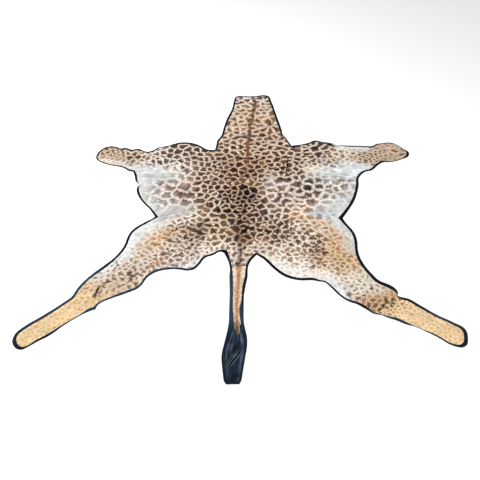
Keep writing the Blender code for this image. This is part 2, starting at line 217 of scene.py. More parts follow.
# New mesh from arrays: places, then the corners of all faces in a row and how many each has.
def newPiece(name, places, corners, sizes, materials, faceMaterials=None):
    mesh = bpy.data.meshes.new(name)
    mesh.vertices.add(len(places))
    mesh.vertices.foreach_set("co", np.ascontiguousarray(places, np.float32).ravel())
    mesh.loops.add(len(corners))
    mesh.loops.foreach_set("vertex_index", np.ascontiguousarray(corners, np.int32))
    mesh.polygons.add(len(sizes))
    mesh.polygons.foreach_set("loop_start", (np.cumsum(sizes) - sizes).astype(np.int32))
    mesh.polygons.foreach_set("use_smooth", np.ones(len(sizes), bool))
    for material in materials:
        mesh.materials.append(material)
    if faceMaterials is not None:
        mesh.polygons.foreach_set("material_index", np.asarray(faceMaterials, np.int32))
    mesh.update(calc_edges=True)
    piece = bpy.data.objects.new(name, mesh)
    bpy.context.scene.collection.objects.link(piece)
    return piece


# Writes columns of values to a piece's points or faces for its material to read: one column as
# numbers, more as vectors, filled up with zeros.
def note(piece, name, *columns, domain="POINT"):
    values = np.column_stack(columns).astype(np.float32)
    kind, field = "FLOAT", "value"
    if values.shape[1] > 1:
        kind, field = "FLOAT_VECTOR", "vector"
        values = np.pad(values, ((0, 0), (0, 3 - values.shape[1])))
    layer = piece.data.attributes.new(name, kind, domain)
    layer.data.foreach_set(field, values.ravel())


# Map for the finished part's colours: the rug laid flat, this many metres wide and long, on the
# unit square. The skins' undersides are laid smaller, in a free corner.
floorMap = {
    "size": np.array([2.95, 3.18]),
    "inset": 0.001,
    "under": 0.19,              # scale of the undersides, and their corner
    "corner": (-1.15, 1.28),
    "rimRow": 1.2 * mm,
}


def layMap(piece, cornerPlaces):
    layer = piece.data.uv_layers.new(name="OFBake")
    size, inset = floorMap["size"], floorMap["inset"]
    spot = (np.asarray(cornerPlaces)[:, :2] + size / 2) / size
    layer.uv.foreach_set("vector", np.clip(spot, inset, 1 - inset).astype(np.float32).ravel())


# Delaunay net over an edge and the points inside it: all points, and triangles facing up.
def net(edge, inner):
    points = np.concatenate([edge, inner])
    ring = list(range(len(edge)))
    found = delaunay_2d_cdt([Vector(p) for p in points], [], [ring], 1, 1e-7)
    places = np.array([tuple(p) for p in found[0]])
    faces = np.array([face for face in found[2] if len(face) == 3])
    a, b, c = places[faces].transpose(1, 0, 2)
    up = (b[:, 0] - a[:, 0]) * (c[:, 1] - a[:, 1]) - (b[:, 1] - a[:, 1]) * (c[:, 0] - a[:, 0]) > 0
    faces[~up] = faces[~up][:, ::-1]
    return places, faces


# Closed sheet: a fine net on top, a coarser one below and a half-round rim between them.
# topHeight and lowHeight give z over the floor, and the rim stands out by the sizes' bulge.
def closedSheet(name, edge, sizes, topHeight, lowHeight, materials, rimRows=3):
    step, coarse, bulge = sizes["step"], sizes["coarse"], sizes["bulge"]
    top, topFaces = net(edge, netInside(edge, step, 0.55 * step))
    low, lowFaces = net(edge, netInside(edge, coarse, 0.5 * coarse))
    count = len(edge)
    zTop, zLow = topHeight(top), lowHeight(low)
    out = outward(edge)
    turn = np.pi * np.arange(1, rimRows + 1)[:, None] / (rimRows + 1)
    middle, half = (zTop[:count] + zLow[:count]) / 2, (zTop[:count] - zLow[:count]) / 2
    rimZ = middle + half * np.cos(turn)
    rimXY = edge + out * (bulge * np.sin(turn))[..., None]
    rim = np.concatenate([rimXY, rimZ[..., None]], axis=2).reshape(-1, 3)
    places = np.concatenate([np.column_stack([top, zTop]), rim, np.column_stack([low, zLow])])
    lowStart = len(top) + len(rim)
    rings = [np.arange(count)] + [len(top) + k * count + np.arange(count) for k in range(rimRows)]
    rings.append(lowStart + np.arange(count))
    quads, spots = [], []
    for k, (upper, under) in enumerate(zip(rings, rings[1:])):
        quads.append(np.stack([upper, under, np.roll(under, -1), np.roll(upper, -1)], axis=1))
        near, far = (edge + out * (row * floorMap["rimRow"]) for row in (k, k + 1))
        spots.append(np.stack([near, far, np.roll(far, -1, 0), np.roll(near, -1, 0)], axis=1))
    quads, spots = np.concatenate(quads), np.concatenate(spots)
    faces = [topFaces, quads, lowFaces[:, ::-1] + lowStart]
    corners = np.concatenate([some.ravel() for some in faces])
    counts = [len(some) for some in faces]
    kinds = np.repeat([0, 1, 1], counts) if len(materials) > 1 else None
    piece = newPiece(name, places, corners, np.repeat([3, 4, 3], counts), materials, kinds)
    under = low[lowFaces[:, ::-1].ravel()] * floorMap["under"] + floorMap["corner"]
    layMap(piece, np.concatenate([top[topFaces.ravel()], spots.reshape(-1, 2), under]))
    return piece, top[topFaces].mean(1)


# step between the points of each edge, then the knife's wander, seed and shifts outwards
edgeSizes = {
    "hide": (5.5 * mm, 0.9 * mm, 0.5 * mm, 3, -1.2 * mm, -6.0 * mm),
    "felt_backing": (8 * mm, 0.5 * mm, 0.2 * mm, 5, 0.3 * mm, 1.6 * mm),
}
hideEdge, feltEdge = (knifeCut(fineEdge(cutEdge(name), step), *cut)
                      for name, (step, *cut) in edgeSizes.items())
tailEdge = fineEdge(cutEdge("tail_skin"), 3 * mm)
print("cut edges:", len(hideEdge), len(feltEdge), len(tailEdge), "points")


coatShades = {
    "nearBlack": (17, 16, 31), "umber": (76, 52, 47), "brown": (98, 69, 55),
    "sideBrown": (150, 126, 106), "neckBrown": (152, 118, 90), "napeBrown": (74, 62, 60),
    "chestnut": (146, 112, 88), "rust": (180, 140, 94), "faded": (160, 144, 136),
    "dustBrown": (126, 100, 88), "olive": (78, 60, 42), "bellyBrown": (130, 104, 88),
    "ghost": (207, 202, 198), "spineRust": (162, 118, 82),
    "saddleTan": (205, 173, 142), "hockRust": (214, 176, 134), "tan": (208, 180, 150),
    "warmCream": (228, 210, 190), "cream": (228, 220, 209), "paleCream": (240, 235, 226),
    "white": (231, 234, 235), "dusk": (213, 218, 219), "pearl": (225, 230, 229),
    "butter": (238, 232, 214), "honey": (224, 198, 156), "shankTan": (229, 205, 165),
    "shankSpot": (205, 160, 112), "footTan": (211, 191, 167), "footSpot": (140, 114, 98),
    "hockSpot": (100, 80, 73), "hockTan": (222, 199, 168),
}

# name: path on the floor (cm), reach (mm), patch and ground shades, patch size and half the line's
# width (mm), raggedness and dark heart from 0 to 1, softness of the patch's rim (mm), and the way
# that the hair lies (degrees)
hideZones = {
    "nape": ([(0, 153), (22, 153)], 60, "napeBrown", "white", 44, 10.5, 0.4, 0.3, 4, -90),
    "neckTop": ([(2, 140), (24, 140)], 110, "neckBrown", "cream", 60, 8, 0.4, 0.2, 6, -90),
    "neckHigh": ([(0, 124), (26, 124)], 120, "neckBrown", "warmCream", 64, 11, 0.4, 0.2, 7, -90),
    "neckMid": ([(-6, 106), (30, 106)], 120, "neckBrown", "warmCream", 68, 11, 0.4, 0.2, 7, -90),
    "neckLow": ([(-10, 92), (32, 92)], 110, "brown", "warmCream", 70, 9.8, 0.5, 0.3, 6, -90),
    "withers": ([(-14, 76), (36, 76)], 110, "brown", "warmCream", 70, 10.5, 0.5, 0.4, 3, -90),
    "neckCornerLeft": ([(-16, 80)], 60, "umber", "tan", 52, 6.5, 0.6, 0.2, 4, -110),
    "shoulderLeft": ([(-56, 68), (-30, 66)], 110, "brown", "cream", 64, 7, 0.5, 0.3, 3, -150),
    "shoulderLeftHigh": ([(-48, 78)], 70, "brown", "cream", 66, 6.5, 0.4, 0.3, 3, -150),
    "shoulderLeftLow": ([(-66, 58), (-54, 57)], 70, "umber", "paleCream", 54, 7.5, 1, 0.4, 3, -160),
    "shoulderLeftRim": ([(-56, 50), (-44, 47)], 40, "chestnut", "paleCream", 50, 16, 1, 0.1, 4,
                        -160),
    "shoulderRight": ([(44, 64), (62, 68)], 110, "umber", "warmCream", 60, 7.5, 0.7, 0.3, 3, -30),
    "shoulderRightHigh": ([(56, 78), (64, 80)], 60, "brown", "cream", 62, 9, 0.4, 0.3, 3, -20),
    "shoulderRightLow": ([(64, 57), (76, 56)], 75, "umber", "cream", 50, 3.7, 1, 0.4, 3, -20),
    "forearmLeft": ([(-70, 64), (-80, 62)], 60, "umber", "paleCream", 48, 11, 0.9, 0.3, 3, -175),
    "forearmLeftHigh": ([(-68, 74), (-82, 70)], 40, "faded", "paleCream", 46, 8, 0.7, 0.1, 4, -180),
    "kneeLeft": ([(-88, 66)], 92, "umber", "footTan", 50, 7.5, 0.6, 0.5, 4, -180),
    "footLeft": ([(-98, 66), (-118, 68)], 70, "hockSpot", "footTan", 48, 8, 0.6, 0, 8, 180),
    "footLeftRim": ([(-98, 56), (-112, 58)], 35, "ghost", "cream", 30, 8, 0.5, 0, 4, 180),
    "forearmRight": ([(80, 66), (92, 68)], 70, "chestnut", "butter", 52, 12, 1, 0.5, 3, 0),
    "forearmRightHigh": ([(84, 76), (104, 75)], 40, "ghost", "white", 46, 14, 0.8, 0.1, 4, 0),
    "kneeRight": ([(100, 65), (112, 68)], 60, "brown", "footTan", 44, 6, 0.7, 0.5, 6, 0),
    "footRight": ([(120, 72), (134, 70)], 80, "footSpot", "footTan", 40, 11, 0.6, 0.1, 8, 0),
    "armpitLeft": ([(-80, 42), (-56, 40)], 85, "ghost", "dusk", 70, 16, 0.6, 0, 6, -175),
    "armpitRight": ([(92, 45), (70, 42)], 85, "dusk", "white", 70, 16, 0.6, 0, 6, -5),
    "armpitRightIn": ([(56, 47), (66, 49)], 45, "honey", "butter", 60, 12, 0.7, 0, 6, -20),
    "bellyLeft": ([(-74, 27), (-68, 8), (-58, -1)], 75, "ghost", "dusk", 80, 9, 0.6, 0.1, 6, -115),
    "sideLeftRim": ([(-66, 27), (-60, 8)], 60, "sideBrown", "white", 100, 10, 0.5, -0.6, 4, -115),
    "sideLeft": ([(-50, 24), (-42, 10)], 100, "bellyBrown", "cream", 118, 13.5, 0.5, -0.55, 3,
                 -110),
    "sideLeftHigh": ([(-46, 38), (-40, 46)], 60, "sideBrown", "paleCream", 92, 10.2, 0.7, -0.8, 3,
                     -120),
    "midLeft": ([(-28, 42), (-24, 8)], 90, "umber", "warmCream", 66, 6.4, 0.5, 0.3, 2.5, -100),
    "backHigh": ([(-8, 60), (22, 58)], 100, "umber", "tan", 58, 6.5, 0.5, 0.2, 2.5, -90),
    "back": ([(-6, 38), (10, 34)], 100, "umber", "tan", 58, 6, 0.5, 0.2, 2.5, -90),
    "saddle": ([(2, 15), (2, -15)], 90, "nearBlack", "saddleTan", 58, 4.5, 0.15, 0.3, 1.5, -90),
    "saddleLeft": ([(-10, 10), (-10, -6)], 50, "nearBlack", "tan", 54, 3.8, 0.4, 0.2, 2.5, -100),
    "worn": ([(26, 34), (30, 27)], 65, "faded", "cream", 60, 13, 0.7, 0, 6, -80),
    "midRightHigh": ([(36, 50), (40, 44)], 80, "umber", "warmCream", 64, 6.5, 0.5, 0.2, 3, -80),
    "midRight": ([(34, 18), (30, 2)], 90, "dustBrown", "cream", 70, 10.5, 0.5, -0.2, 3, -75),
    "sideRight": ([(52, 27), (62, 30), (54, 16)], 80, "olive", "cream", 84, 12, 0.7, 0.2, 4, -70),
    "sideRightRim": ([(72, 24), (80, 30), (76, 16)], 70, "sideBrown", "white", 74, 9, 0.5, -0.6,
                     4, -65),
    "sideRightLow": ([(50, 5), (62, 6)], 70, "chestnut", "paleCream", 74, 12.5, 0.6, 0.1, 5, -65),
    "bellyRight": ([(84, 14), (76, 2), (64, 0)], 70, "ghost", "dusk", 76, 13, 0.6, 0, 6, -65),
    "flankRight": ([(56, -6), (70, -7)], 42, "faded", "dusk", 60, 16, 0.5, 0, 6, -60),
    "flankRightIn": ([(42, -4), (50, -12)], 50, "rust", "warmCream", 56, 9, 0.8, 0, 5, -60),
    "flankLeft": ([(-40, -1), (-60, -9)], 50, "ghost", "ghost", 60, 16, 0.5, 0, 6, -130),
    "hipLeft": ([(-28, -5), (-46, -13)], 50, "chestnut", "paleCream", 50, 6.5, 0.8, 0.2, 4, -125),
    "rumpSpine": ([(1, -24), (0, -36)], 56, "nearBlack", "spineRust", 40, 6, 0.3, 0.4, 3, -90),
    "rumpLeft": ([(-18, -10), (-14, -30)], 90, "brown", "warmCream", 60, 8.2, 0.5, 0.2, 2.5, -105),
    "rumpLeftOut": ([(-30, -26), (-42, -28)], 85, "umber", "footTan", 52, 5.5, 0.7, 0.6, 2.5, -125),
    "rumpLeftLow": ([(-14, -40), (-24, -44)], 60, "chestnut", "paleCream", 52, 9.7, 0.8, 0.2, 3,
                    -115),
    "thighLeft": ([(-42, -40), (-46, -52)], 90, "brown", "cream", 46, 7, 1.3, 0.4, 3, -135),
    "thighLeftOut": ([(-58, -28), (-66, -42)], 75, "rust", "warmCream", 46, 6, 1.3, 0.1, 3, -135),
    "thighLeftLow": ([(-60, -54), (-76, -60)], 80, "chestnut", "cream", 42, 5, 1.3, 0.2, 3, -138),
    "legLeftRim": ([(-66, -17), (-76, -32), (-85, -50)], 50, "ghost", "pearl", 50, 14, 0.6, 0, 6,
                   -135),
    "legLeftRimLow": ([(-86, -56), (-98, -70)], 40, "sideBrown", "white", 32, 11, 0.8, 0, 4, -138),
    "hockLeft": ([(-80, -70), (-92, -76)], 75, "hockSpot", "warmCream", 48, 11, 1, 0.6, 8, -138),
    "hockLeftLow": ([(-88, -84), (-104, -82)], 55, "footSpot", "hockTan", 38, 11.5, 1, 0.1, 8,
                    -138),
    "shinLeft": ([(-104, -92)], 60, "shankSpot", "shankTan", 32, 6, 0.6, 0, 8, -140),
    "shankLeft": ([(-114, -100), (-138, -122)], 110, "shankSpot", "shankTan", 32, 8, 0.6, 0, 9,
                  -140),
    "rumpEdgeLeft": ([(-16, -47), (-28, -52), (-34, -59), (-50, -60)], 28, "faded", "white", 44, 13,
                     0.7, 0, 5, -115),
    "rumpRight": ([(16, -14), (26, -26)], 110, "umber", "footTan", 62, 5, 0.5, 0.3, 2.5, -75),
    "rumpRightOut": ([(40, -22), (44, -32)], 90, "brown", "paleCream", 52, 3.8, 1.3, 0.5, 3, -60),
    "rumpRightLow": ([(16, -40), (28, -44)], 60, "chestnut", "cream", 50, 8.5, 0.8, 0.2, 3, -65),
    "thighRightIn": ([(36, -50), (46, -58)], 70, "chestnut", "paleCream", 44, 8, 1.3, 0.1, 3, -55),
    "rumpEdgeRight": ([(22, -56), (34, -66), (58, -69)], 42, "ghost", "paleCream", 40, 10, 0.7, 0,
                      5, -50),
    "thighRightDark": ([(55, -38), (57, -54)], 50, "umber", "tan", 44, 5, 1.3, 0.5, 3, -50),
    "thighRightOut": ([(52, -20), (68, -26)], 65, "neckBrown", "warmCream", 46, 10.5, 1.1, 0.3, 3,
                      -50),
    "thighRightHoney": ([(74, -38), (76, -56)], 70, "chestnut", "honey", 42, 9, 1.3, 0, 3.5, -50),
    "thighRightLow": ([(60, -62), (70, -66)], 60, "chestnut", "warmCream", 44, 6, 1.3, 0.2, 3, -45),
    "legRightRim": ([(74, -14), (81, -30), (81, -42)], 38, "ghost", "dusk", 50, 14, 0.6, 0, 6, -55),
    "kneeRightRear": ([(78, -72), (88, -74)], 65, "chestnut", "butter", 44, 14, 1, 0.2, 4, -42),
    "kneeRightEdge": ([(60, -76), (68, -83)], 42, "ghost", "white", 44, 13, 0.7, 0, 5, -42),
    "hockRight": ([(75, -87), (80, -78), (92, -80)], 55, "hockSpot", "cream", 40, 12, 0.6, 0.6, 4,
                  -42),
    "hockRightLow": ([(86, -94), (98, -89)], 62, "hockSpot", "hockRust", 46, 10, 0.8, 0.2, 5, -42),
    "heelRight": ([(98, -100), (108, -94)], 50, "brown", "shankTan", 38, 8, 0.5, 0.1, 8, -40),
    "shankRight": ([(116, -104), (139, -122)], 110, "shankSpot", "shankTan", 32, 8, 0.6, 0, 9, -40),
    "tailRoot": ([(-2, -42), (-1, -60)], 50, "brown", "cream", 44, 9.5, 0.8, 0.2, 4, -90),
}

# a coarse and a fine net of points over the whole rug
rasterStep, fineStep = 0.01, 0.004
gridX, gridY = np.meshgrid(np.arange(-1.5, 1.505, rasterStep), np.arange(-1.62, 1.625, rasterStep))
fineX, fineY = np.meshgrid(np.arange(-1.5, 1.503, fineStep), np.arange(-1.62, 1.623, fineStep))
gridPlaces, finePlaces = (np.stack([x.ravel(), y.ravel()], axis=1)
                          for x, y in ((gridX, gridY), (fineX, fineY)))
gridGap = nearest(gridPlaces, hideEdge, 1)[1][:, 0]     # to the hide's cut edge


# Value of a field at any place: straight-line mean of the four net points round it.
def readField(field, places, step=rasterStep):
    u, v = (places[:, 0] - gridX[0, 0]) / step, (places[:, 1] - gridY[0, 0]) / step
    i = np.clip(u.astype(int), 0, field.shape[1] - 2)
    j = np.clip(v.astype(int), 0, field.shape[0] - 2)
    s, t = np.clip(u - i, 0, 1), np.clip(v - j, 0, 1)
    if field.ndim == 3:
        s, t = s[:, None], t[:, None]
    low = field[j, i] * (1 - s) + field[j, i + 1] * s
    high = field[j + 1, i] * (1 - s) + field[j + 1, i + 1] * s
    return low * (1 - t) + high * t


# the columns of a zone's values
kept = {"patch": slice(0, 3), "ground": slice(3, 6), "size": 6, "half": 7, "ragged": 8, "heart": 9,
        "soft": 10, "lay": slice(11, 13)}
zoneBlend = {"bend": 0.022, "bendCell": 0.11, "fall": 1.6}


# Coat values over the whole hide: each zone weighs exp(-(distance / reach)^fall), and the values
# are the weighted means. The zones' borders are bent by rolling noise, so none shows as a circle.
def blendZones():
    s = zoneBlend
    bentX, bentY = (grid + s["bend"] * rolling(gridX, gridY, s["bendCell"], seed)
                    for grid, seed in ((gridX, 41), (gridY, 42)))
    total = np.full(gridX.shape, 1e-12)
    sums = np.zeros(gridX.shape + (13,))
    for path, reach, patch, ground, size, half, ragged, heart, soft, lay in hideZones.values():
        weight = np.exp(-(pathGap(bentX, bentY, path, 100)[0] / (reach * mm)) ** s["fall"]) + 1e-9
        angle = math.radians(lay)
        values = [*light(*coatShades[patch]), *light(*coatShades[ground]), size * mm, half * mm,
                  ragged, heart, soft * mm, math.cos(angle), math.sin(angle)]
        sums += weight[..., None] * np.array(values)
        total += weight
    return sums / total[..., None]


zoneField = blendZones()
print("coat zones blended:", len(hideZones))


# name: crest path on the floor, height and half width, all in mm
creases = {
    "maneTop": ([(112, 1542), (136, 1450), (131, 1350), (117, 1270), (120, 1145)], 5, 17),
    "maneLow": ([(82, 1120), (86, 1020), (75, 900), (65, 800), (66, 690), (62, 560)], 4.2, 16),
    "hockLeft": ([(-948, -790), (-962, -867), (-957, -932)], 8, 17),
    "shinLeft": ([(-1060, -838), (-1040, -880)], 3, 13),
    "hockRight": ([(968, -900), (984, -945), (972, -1010), (962, -1044)], 6.5, 16),
    "heelRight": ([(1050, -872), (1028, -925), (1008, -975)], 4, 14),
    "flankLeft": ([(-665, -148), (-590, -111), (-497, -77), (-410, -32)], 4.2, 19),
    "flankLeftHigh": ([(-610, -86), (-545, -56), (-480, -30)], 3, 15),
    "flankRight": ([(715, -98), (603, -67), (500, -28)], 4, 19),
    "groinLeftOut": ([(-318, -400), (-334, -480), (-338, -585)], 3.4, 14),
    "groinLeftIn": ([(-288, -408), (-296, -480), (-300, -545)], 3, 13),
    "forelegRoll": ([(662, 838), (720, 826), (790, 806), (845, 792)], 7, 15),
    "armpitLeft": ([(-800, 400), (-690, 386), (-560, 392)], 2.6, 20),
    "armpitRight": ([(900, 410), (780, 392), (650, 398)], 2.6, 20),
}
hideSizes = {
    "felt": 3.0 * mm,
    "gap": 0.3 * mm,
    "thickness": 3.0 * mm,
    "swell": 1.1 * mm,
    "swellX": 0.61,             # lengths of the crossed waves, and how they slant
    "swellY": 0.73,
    "slantX": 0.35,
    "slantY": 0.20,
    "edgeFade": 0.11,
    "endFade": 5,               # creases reach their height over 1 / this of their length
    "endHeight": 0.25,          # and start with this share of it
    "dimples": 0.35 * mm,
    "dimpleCells": (0.05, 0.022),
    "wrinkles": 1.2 * mm,
    "wrinkleCell": 0.022,
    "wrinkleLong": 4.0,         # length over width
    "wrinkleFade": 0.02,
    "thinEdge": (-0.008, 0.010),    # the skin gains its thickness over this
    # fine wrinkles: path (mm), reach (m) and the way they run (radians)
    "wrinkled": [
        ([(-800, 400), (-500, 400)], 0.07, 0.0), ([(920, 420), (620, 420)], 0.07, 0.0),
        ([(-620, -100), (-360, 0)], 0.06, 0.35), ([(720, -80), (460, -30)], 0.06, -0.25),
        ([(-310, -400), (-320, -600)], 0.04, 1.5), ([(-930, -760), (-980, -920)], 0.05, 1.9),
        ([(950, -900), (1030, -1000)], 0.06, 1.2),
    ],
}


# Height of the hide's underside over its glue line: two crossed sine waves that fade out at the cut
# edge, or a crease's cosine crest where that is higher.
def hideRelief():
    s = hideSizes
    gap = readField(gridGap.reshape(gridX.shape), finePlaces).reshape(fineX.shape)
    waveX = np.sin(2 * np.pi * (fineX / s["swellX"] + s["slantX"] * fineY / s["swellY"]))
    waveY = np.sin(2 * np.pi * (fineY / s["swellY"] - s["slantY"] * fineX / s["swellX"]))
    height = s["swell"] * (1 + 0.5 * waveX + 0.5 * waveY) * np.minimum(1, gap / s["edgeFade"])
    for path, top, half in creases.values():
        away, share = pathGap(fineX, fineY, path)
        crest = top * mm * (0.5 + 0.5 * np.cos(np.pi * np.minimum(away / (half * mm), 1)))
        ends = np.minimum(1, s["endFade"] * np.minimum(share, 1 - share) + s["endHeight"])
        height = np.maximum(height, crest * ends)
    return height, gap


# Extra height on top only: dimples, and fine wrinkles where the skin was folded in life. Wrinkles
# are 1 - 2 |noise|, of a noise drawn out along the fold.
def hideWrinkles(gap):
    s = hideSizes
    wide, narrow = (rolling(fineX, fineY, cell, 51 + k) for k, cell in enumerate(s["dimpleCells"]))
    extra = s["dimples"] * (wide + 0.5 * narrow)
    for path, reach, turn in s["wrinkled"]:
        along = fineX * math.cos(turn) + fineY * math.sin(turn)
        across = fineY * math.cos(turn) - fineX * math.sin(turn)
        folds = rolling(along / s["wrinkleLong"], across, s["wrinkleCell"], 60)
        ridges = 1.0 - 2.0 * np.abs(folds)
        extra += s["wrinkles"] * ridges * np.exp(-(pathGap(fineX, fineY, path)[0] / reach) ** 2)
    return extra * np.minimum(1, gap / s["wrinkleFade"])


underField, edgeGapField = hideRelief()
wrinkleField = hideWrinkles(edgeGapField)


# Height of the hide's underside and of its hair side at any place.
def hideUnder(places):
    return hideSizes["felt"] + hideSizes["gap"] + readField(underField, places, fineStep)


def hideTop(places):
    gap = readField(edgeGapField, places, fineStep)
    thick = hideSizes["thickness"] * ease(gap, *hideSizes["thinEdge"])
    return hideUnder(places) + thick + readField(wrinkleField, places, fineStep)


print("relief: highest crease", round(float(underField.max() / mm), 1), "mm")


combSizes = {
    "grain": 12 * mm,
    "steps": 12,
    "turn": 0.3,                # most that the lay sways, in radians
    "turnCell": 60 * mm,
    "spread": 0.25,
}


# Locks of lying hair, 0 to 1: rolling noise averaged forwards and back along the hair's lay.
def combCoat():
    s = combSizes
    grain = rolling(fineX, fineY, s["grain"], 81)
    grain = (grain + 0.7 * rolling(fineX, fineY, 0.6 * s["grain"], 82)).ravel()
    lay = readField(zoneField[..., kept["lay"]], finePlaces)
    sway = s["turn"] * rolling(fineX, fineY, s["turnCell"], 83).ravel()
    turn = np.arctan2(lay[:, 1], lay[:, 0]) + sway
    stride = fineStep * np.stack([np.cos(turn), np.sin(turn)], axis=1)
    rows, columns = fineX.shape
    total = grain.copy()
    for hand in (1, -1):
        spot = finePlaces.copy()
        here = np.arange(len(finePlaces))
        for _ in range(s["steps"]):
            spot += hand * stride[here]
            i = np.clip(np.round((spot[:, 0] - fineX[0, 0]) / fineStep).astype(int), 0, columns - 1)
            j = np.clip(np.round((spot[:, 1] - fineY[0, 0]) / fineStep).astype(int), 0, rows - 1)
            here = j * columns + i
            total += grain[here]
    return np.clip(0.5 + s["spread"] * total / total.std(), 0, 1).reshape(fineX.shape)


# name: path of a dark mark on the floor, half width (both in mm), and darkness, from 0; most are
# painted shade in folds, under the rolled edge and in the seam's gap, while the marks down the spine
# and the hock's spots are the coat's own dark streaks
shadeAndStreakMarks = {
    "hockLeft": ([(-960, -796), (-972, -840), (-984, -886)], 10, 1.5),
    "hockLeftSpots": ([(-938, -768), (-892, -752)], 8, 1.1),
    "kneeLeftRear": ([(-775, -690), (-728, -702)], 8, 1.2),
    "hockLeftHigh": ([(-930, -770), (-955, -812)], 5, 0.5),
    "hockRight": ([(982, -905), (972, -945), (950, -980), (918, -1006)], 8, 1.5),
    "heelRight": ([(1036, -890), (1018, -930), (1008, -968)], 7, 1),
    "flankLeft": ([(-620, -96), (-503, -56), (-352, 2)], 4, 0.5),
    "flankLeftLow": ([(-600, -125), (-500, -86), (-420, -56)], 3, 0.4),
    "tailSeam": ([(-52, -592), (38, -592)], 5, 0.75),
    "tailSpine": ([(4, -440), (7, -510), (-4, -585)], 12, 0.85),
    "rumpSpine": ([(6, -250), (4, -440)], 14, 0.42),
    "forelegRoll": ([(645, 862), (705, 838), (800, 785)], 12, 1.2),
    "neckCorner": ([(350, 800), (420, 770)], 6, 0.45),
    "sideRight": ([(610, 333), (750, 336), (910, 328)], 10, 0.6),
    "rumpLeft": ([(-268, -130), (-290, -230), (-303, -340)], 15, 0.72),
    "rumpLeftLow": ([(-303, -340), (-325, -500)], 6, 0.7),
    "shoulderRight": ([(400, 620), (385, 500), (372, 420)], 6, 1.45),
    "maneFoot": ([(0, 618), (105, 618)], 9, 1.35),
    "neckMiddle": ([(30, 940), (200, 930)], 9, 1.15),
}


# painted shade: how dark the wrinkles and the creases' feet are painted, and the noise that breaks
# the painted folds
shadeAndStreakSizes = {
    "wrinkles": 0.29,           # darkness in the wrinkles, reached this far down
    "wrinkleDepth": 1.2 * mm,
    "feet": 0.37,               # darkness along the creases' feet
    "footPlace": 0.72,          # out from the crest, over the crease's half width
    "footWidth": 0.24,
    "breaks": (0.85, 0.40, 0.02),   # mean, swing and cell of the noise that breaks the folds
}


# Painted shade that folds hold, from 0: along the feet of the creases, in the wrinkles, and in the
# dark folds above, which noise breaks; the marks above that are the coat's own streaks go in too.
def paintedShadeAndStreaks():
    s = shadeAndStreakSizes
    shade = s["wrinkles"] * np.clip(-wrinkleField / s["wrinkleDepth"], 0, 1)
    mean, swing, cell = s["breaks"]
    uneven = np.clip(mean + swing * rolling(fineX, fineY, cell, 84), 0, 1)
    for path, half, depth in shadeAndStreakMarks.values():
        away, _ = pathGap(fineX, fineY, path)
        shade = np.maximum(shade, depth * uneven * np.exp(-(away / mm / half) ** 2))
    for name, (path, top, half) in creases.items():
        if not name.startswith("mane"):
            away, share = pathGap(fineX, fineY, path)
            out = (away / mm - s["footPlace"] * half) / (s["footWidth"] * half)
            foot = s["feet"] * np.exp(-out ** 2)
            shade = np.maximum(shade, foot * np.minimum(1, 8 * np.minimum(share, 1 - share) + 0.2))
    return shade


combField = combCoat()
shadeAndStreakField = paintedShadeAndStreaks()


patchSizes = {
    "centresPerPatch": 1.32,    # neighbouring centres that share a name make one crooked patch
    "shared": 0.28,
    "wider": 1.14,              # over the zones' sizes
    "uneven": 0.24,             # spread of the patches' sizes
    "crowding": 0.94,
    "ownArea": 0.87,            # of a centre, over its size squared
    "beyond": 0.06,             # centres reach this far past the edge
    "settle": 14,               # rounds of pushing apart, each by this share of what lacks
    "push": 0.33,
    "across": 2.5,              # how much rather a centre shares with one across the lay
    "seed": 11,
}


# Patch centres as x, y and a name from 0 to 1: random places, as many as the zones' patch sizes ask
# for, pushed apart until each has its room; then some take the name of a neighbour beside them,
# across the hair's lay.
def placeCentres():
    s = patchSizes
    rng = np.random.default_rng(s["seed"])
    size = zoneField[..., kept["size"]] * s["wider"] / math.sqrt(s["centresPerPatch"])
    wanted = insideEdge(gridPlaces, hideEdge) | (gridGap < s["beyond"])
    area = s["ownArea"] * math.exp(2 * s["uneven"] ** 2) * size.ravel() ** 2
    chance = np.where(wanted, 1.0 / area, 0.0)
    count = int(chance.sum() * rasterStep ** 2)
    pick = rng.choice(len(gridPlaces), count, p=chance / chance.sum())
    centres = gridPlaces[pick] + rng.uniform(-0.5, 0.5, (count, 2)) * rasterStep
    share = np.exp(rng.normal(0, s["uneven"], count))
    for _ in range(s["settle"]):
        room = readField(size, centres) * share
        near, away = nearest(centres, centres, 9, reach=0.2)
        apart = centres[:, None] - centres[near[:, 1:]]
        wish = s["crowding"] * 0.5 * (room[:, None] + room[near[:, 1:]])
        push = np.clip(1.0 - away[:, 1:] / wish, 0, 1) / np.maximum(away[:, 1:], 1e-6)
        centres = centres + s["push"] * (apart * (push * wish)[..., None]).sum(1)
    names = rng.uniform(0, 1, count)
    near = nearest(centres, centres, 5, reach=0.2)[0][:, 1:]
    apart = centres[near] - centres[:, None]
    lay = readField(zoneField, centres)[:, kept["lay"]]
    along = np.abs(np.sum(apart * lay[:, None], axis=2))
    across = np.abs(apart[..., 0] * lay[:, 1:] - apart[..., 1] * lay[:, :1])
    mate = near[np.arange(count), np.argmin(np.hypot(s["across"] * along, across), axis=1)]
    names = np.where(rng.uniform(0, 1, count) < s["shared"], names[mate], names)
    return centres, names


centres, centreNames = placeCentres()
print("patch centres:", len(centres))

spinePath = [(66, 580), (50, 350), (20, 100), (0, -300), (-10, -620)]
manePath = creases["maneTop"][0][:-1] + [(108, 1160), (84, 1110)] + creases["maneLow"][0][1:]
manePath += [(58, 480), (50, 420)]
darkReach = {
    "mane": (-0.032, -0.002),   # the hair darkens towards the path over this
    "maneEnd": 0.25,            # share of the path's length over which it starts or fades
    "spine": (-0.045, -0.004),
    "spineStart": (0.15, 0.5),
}


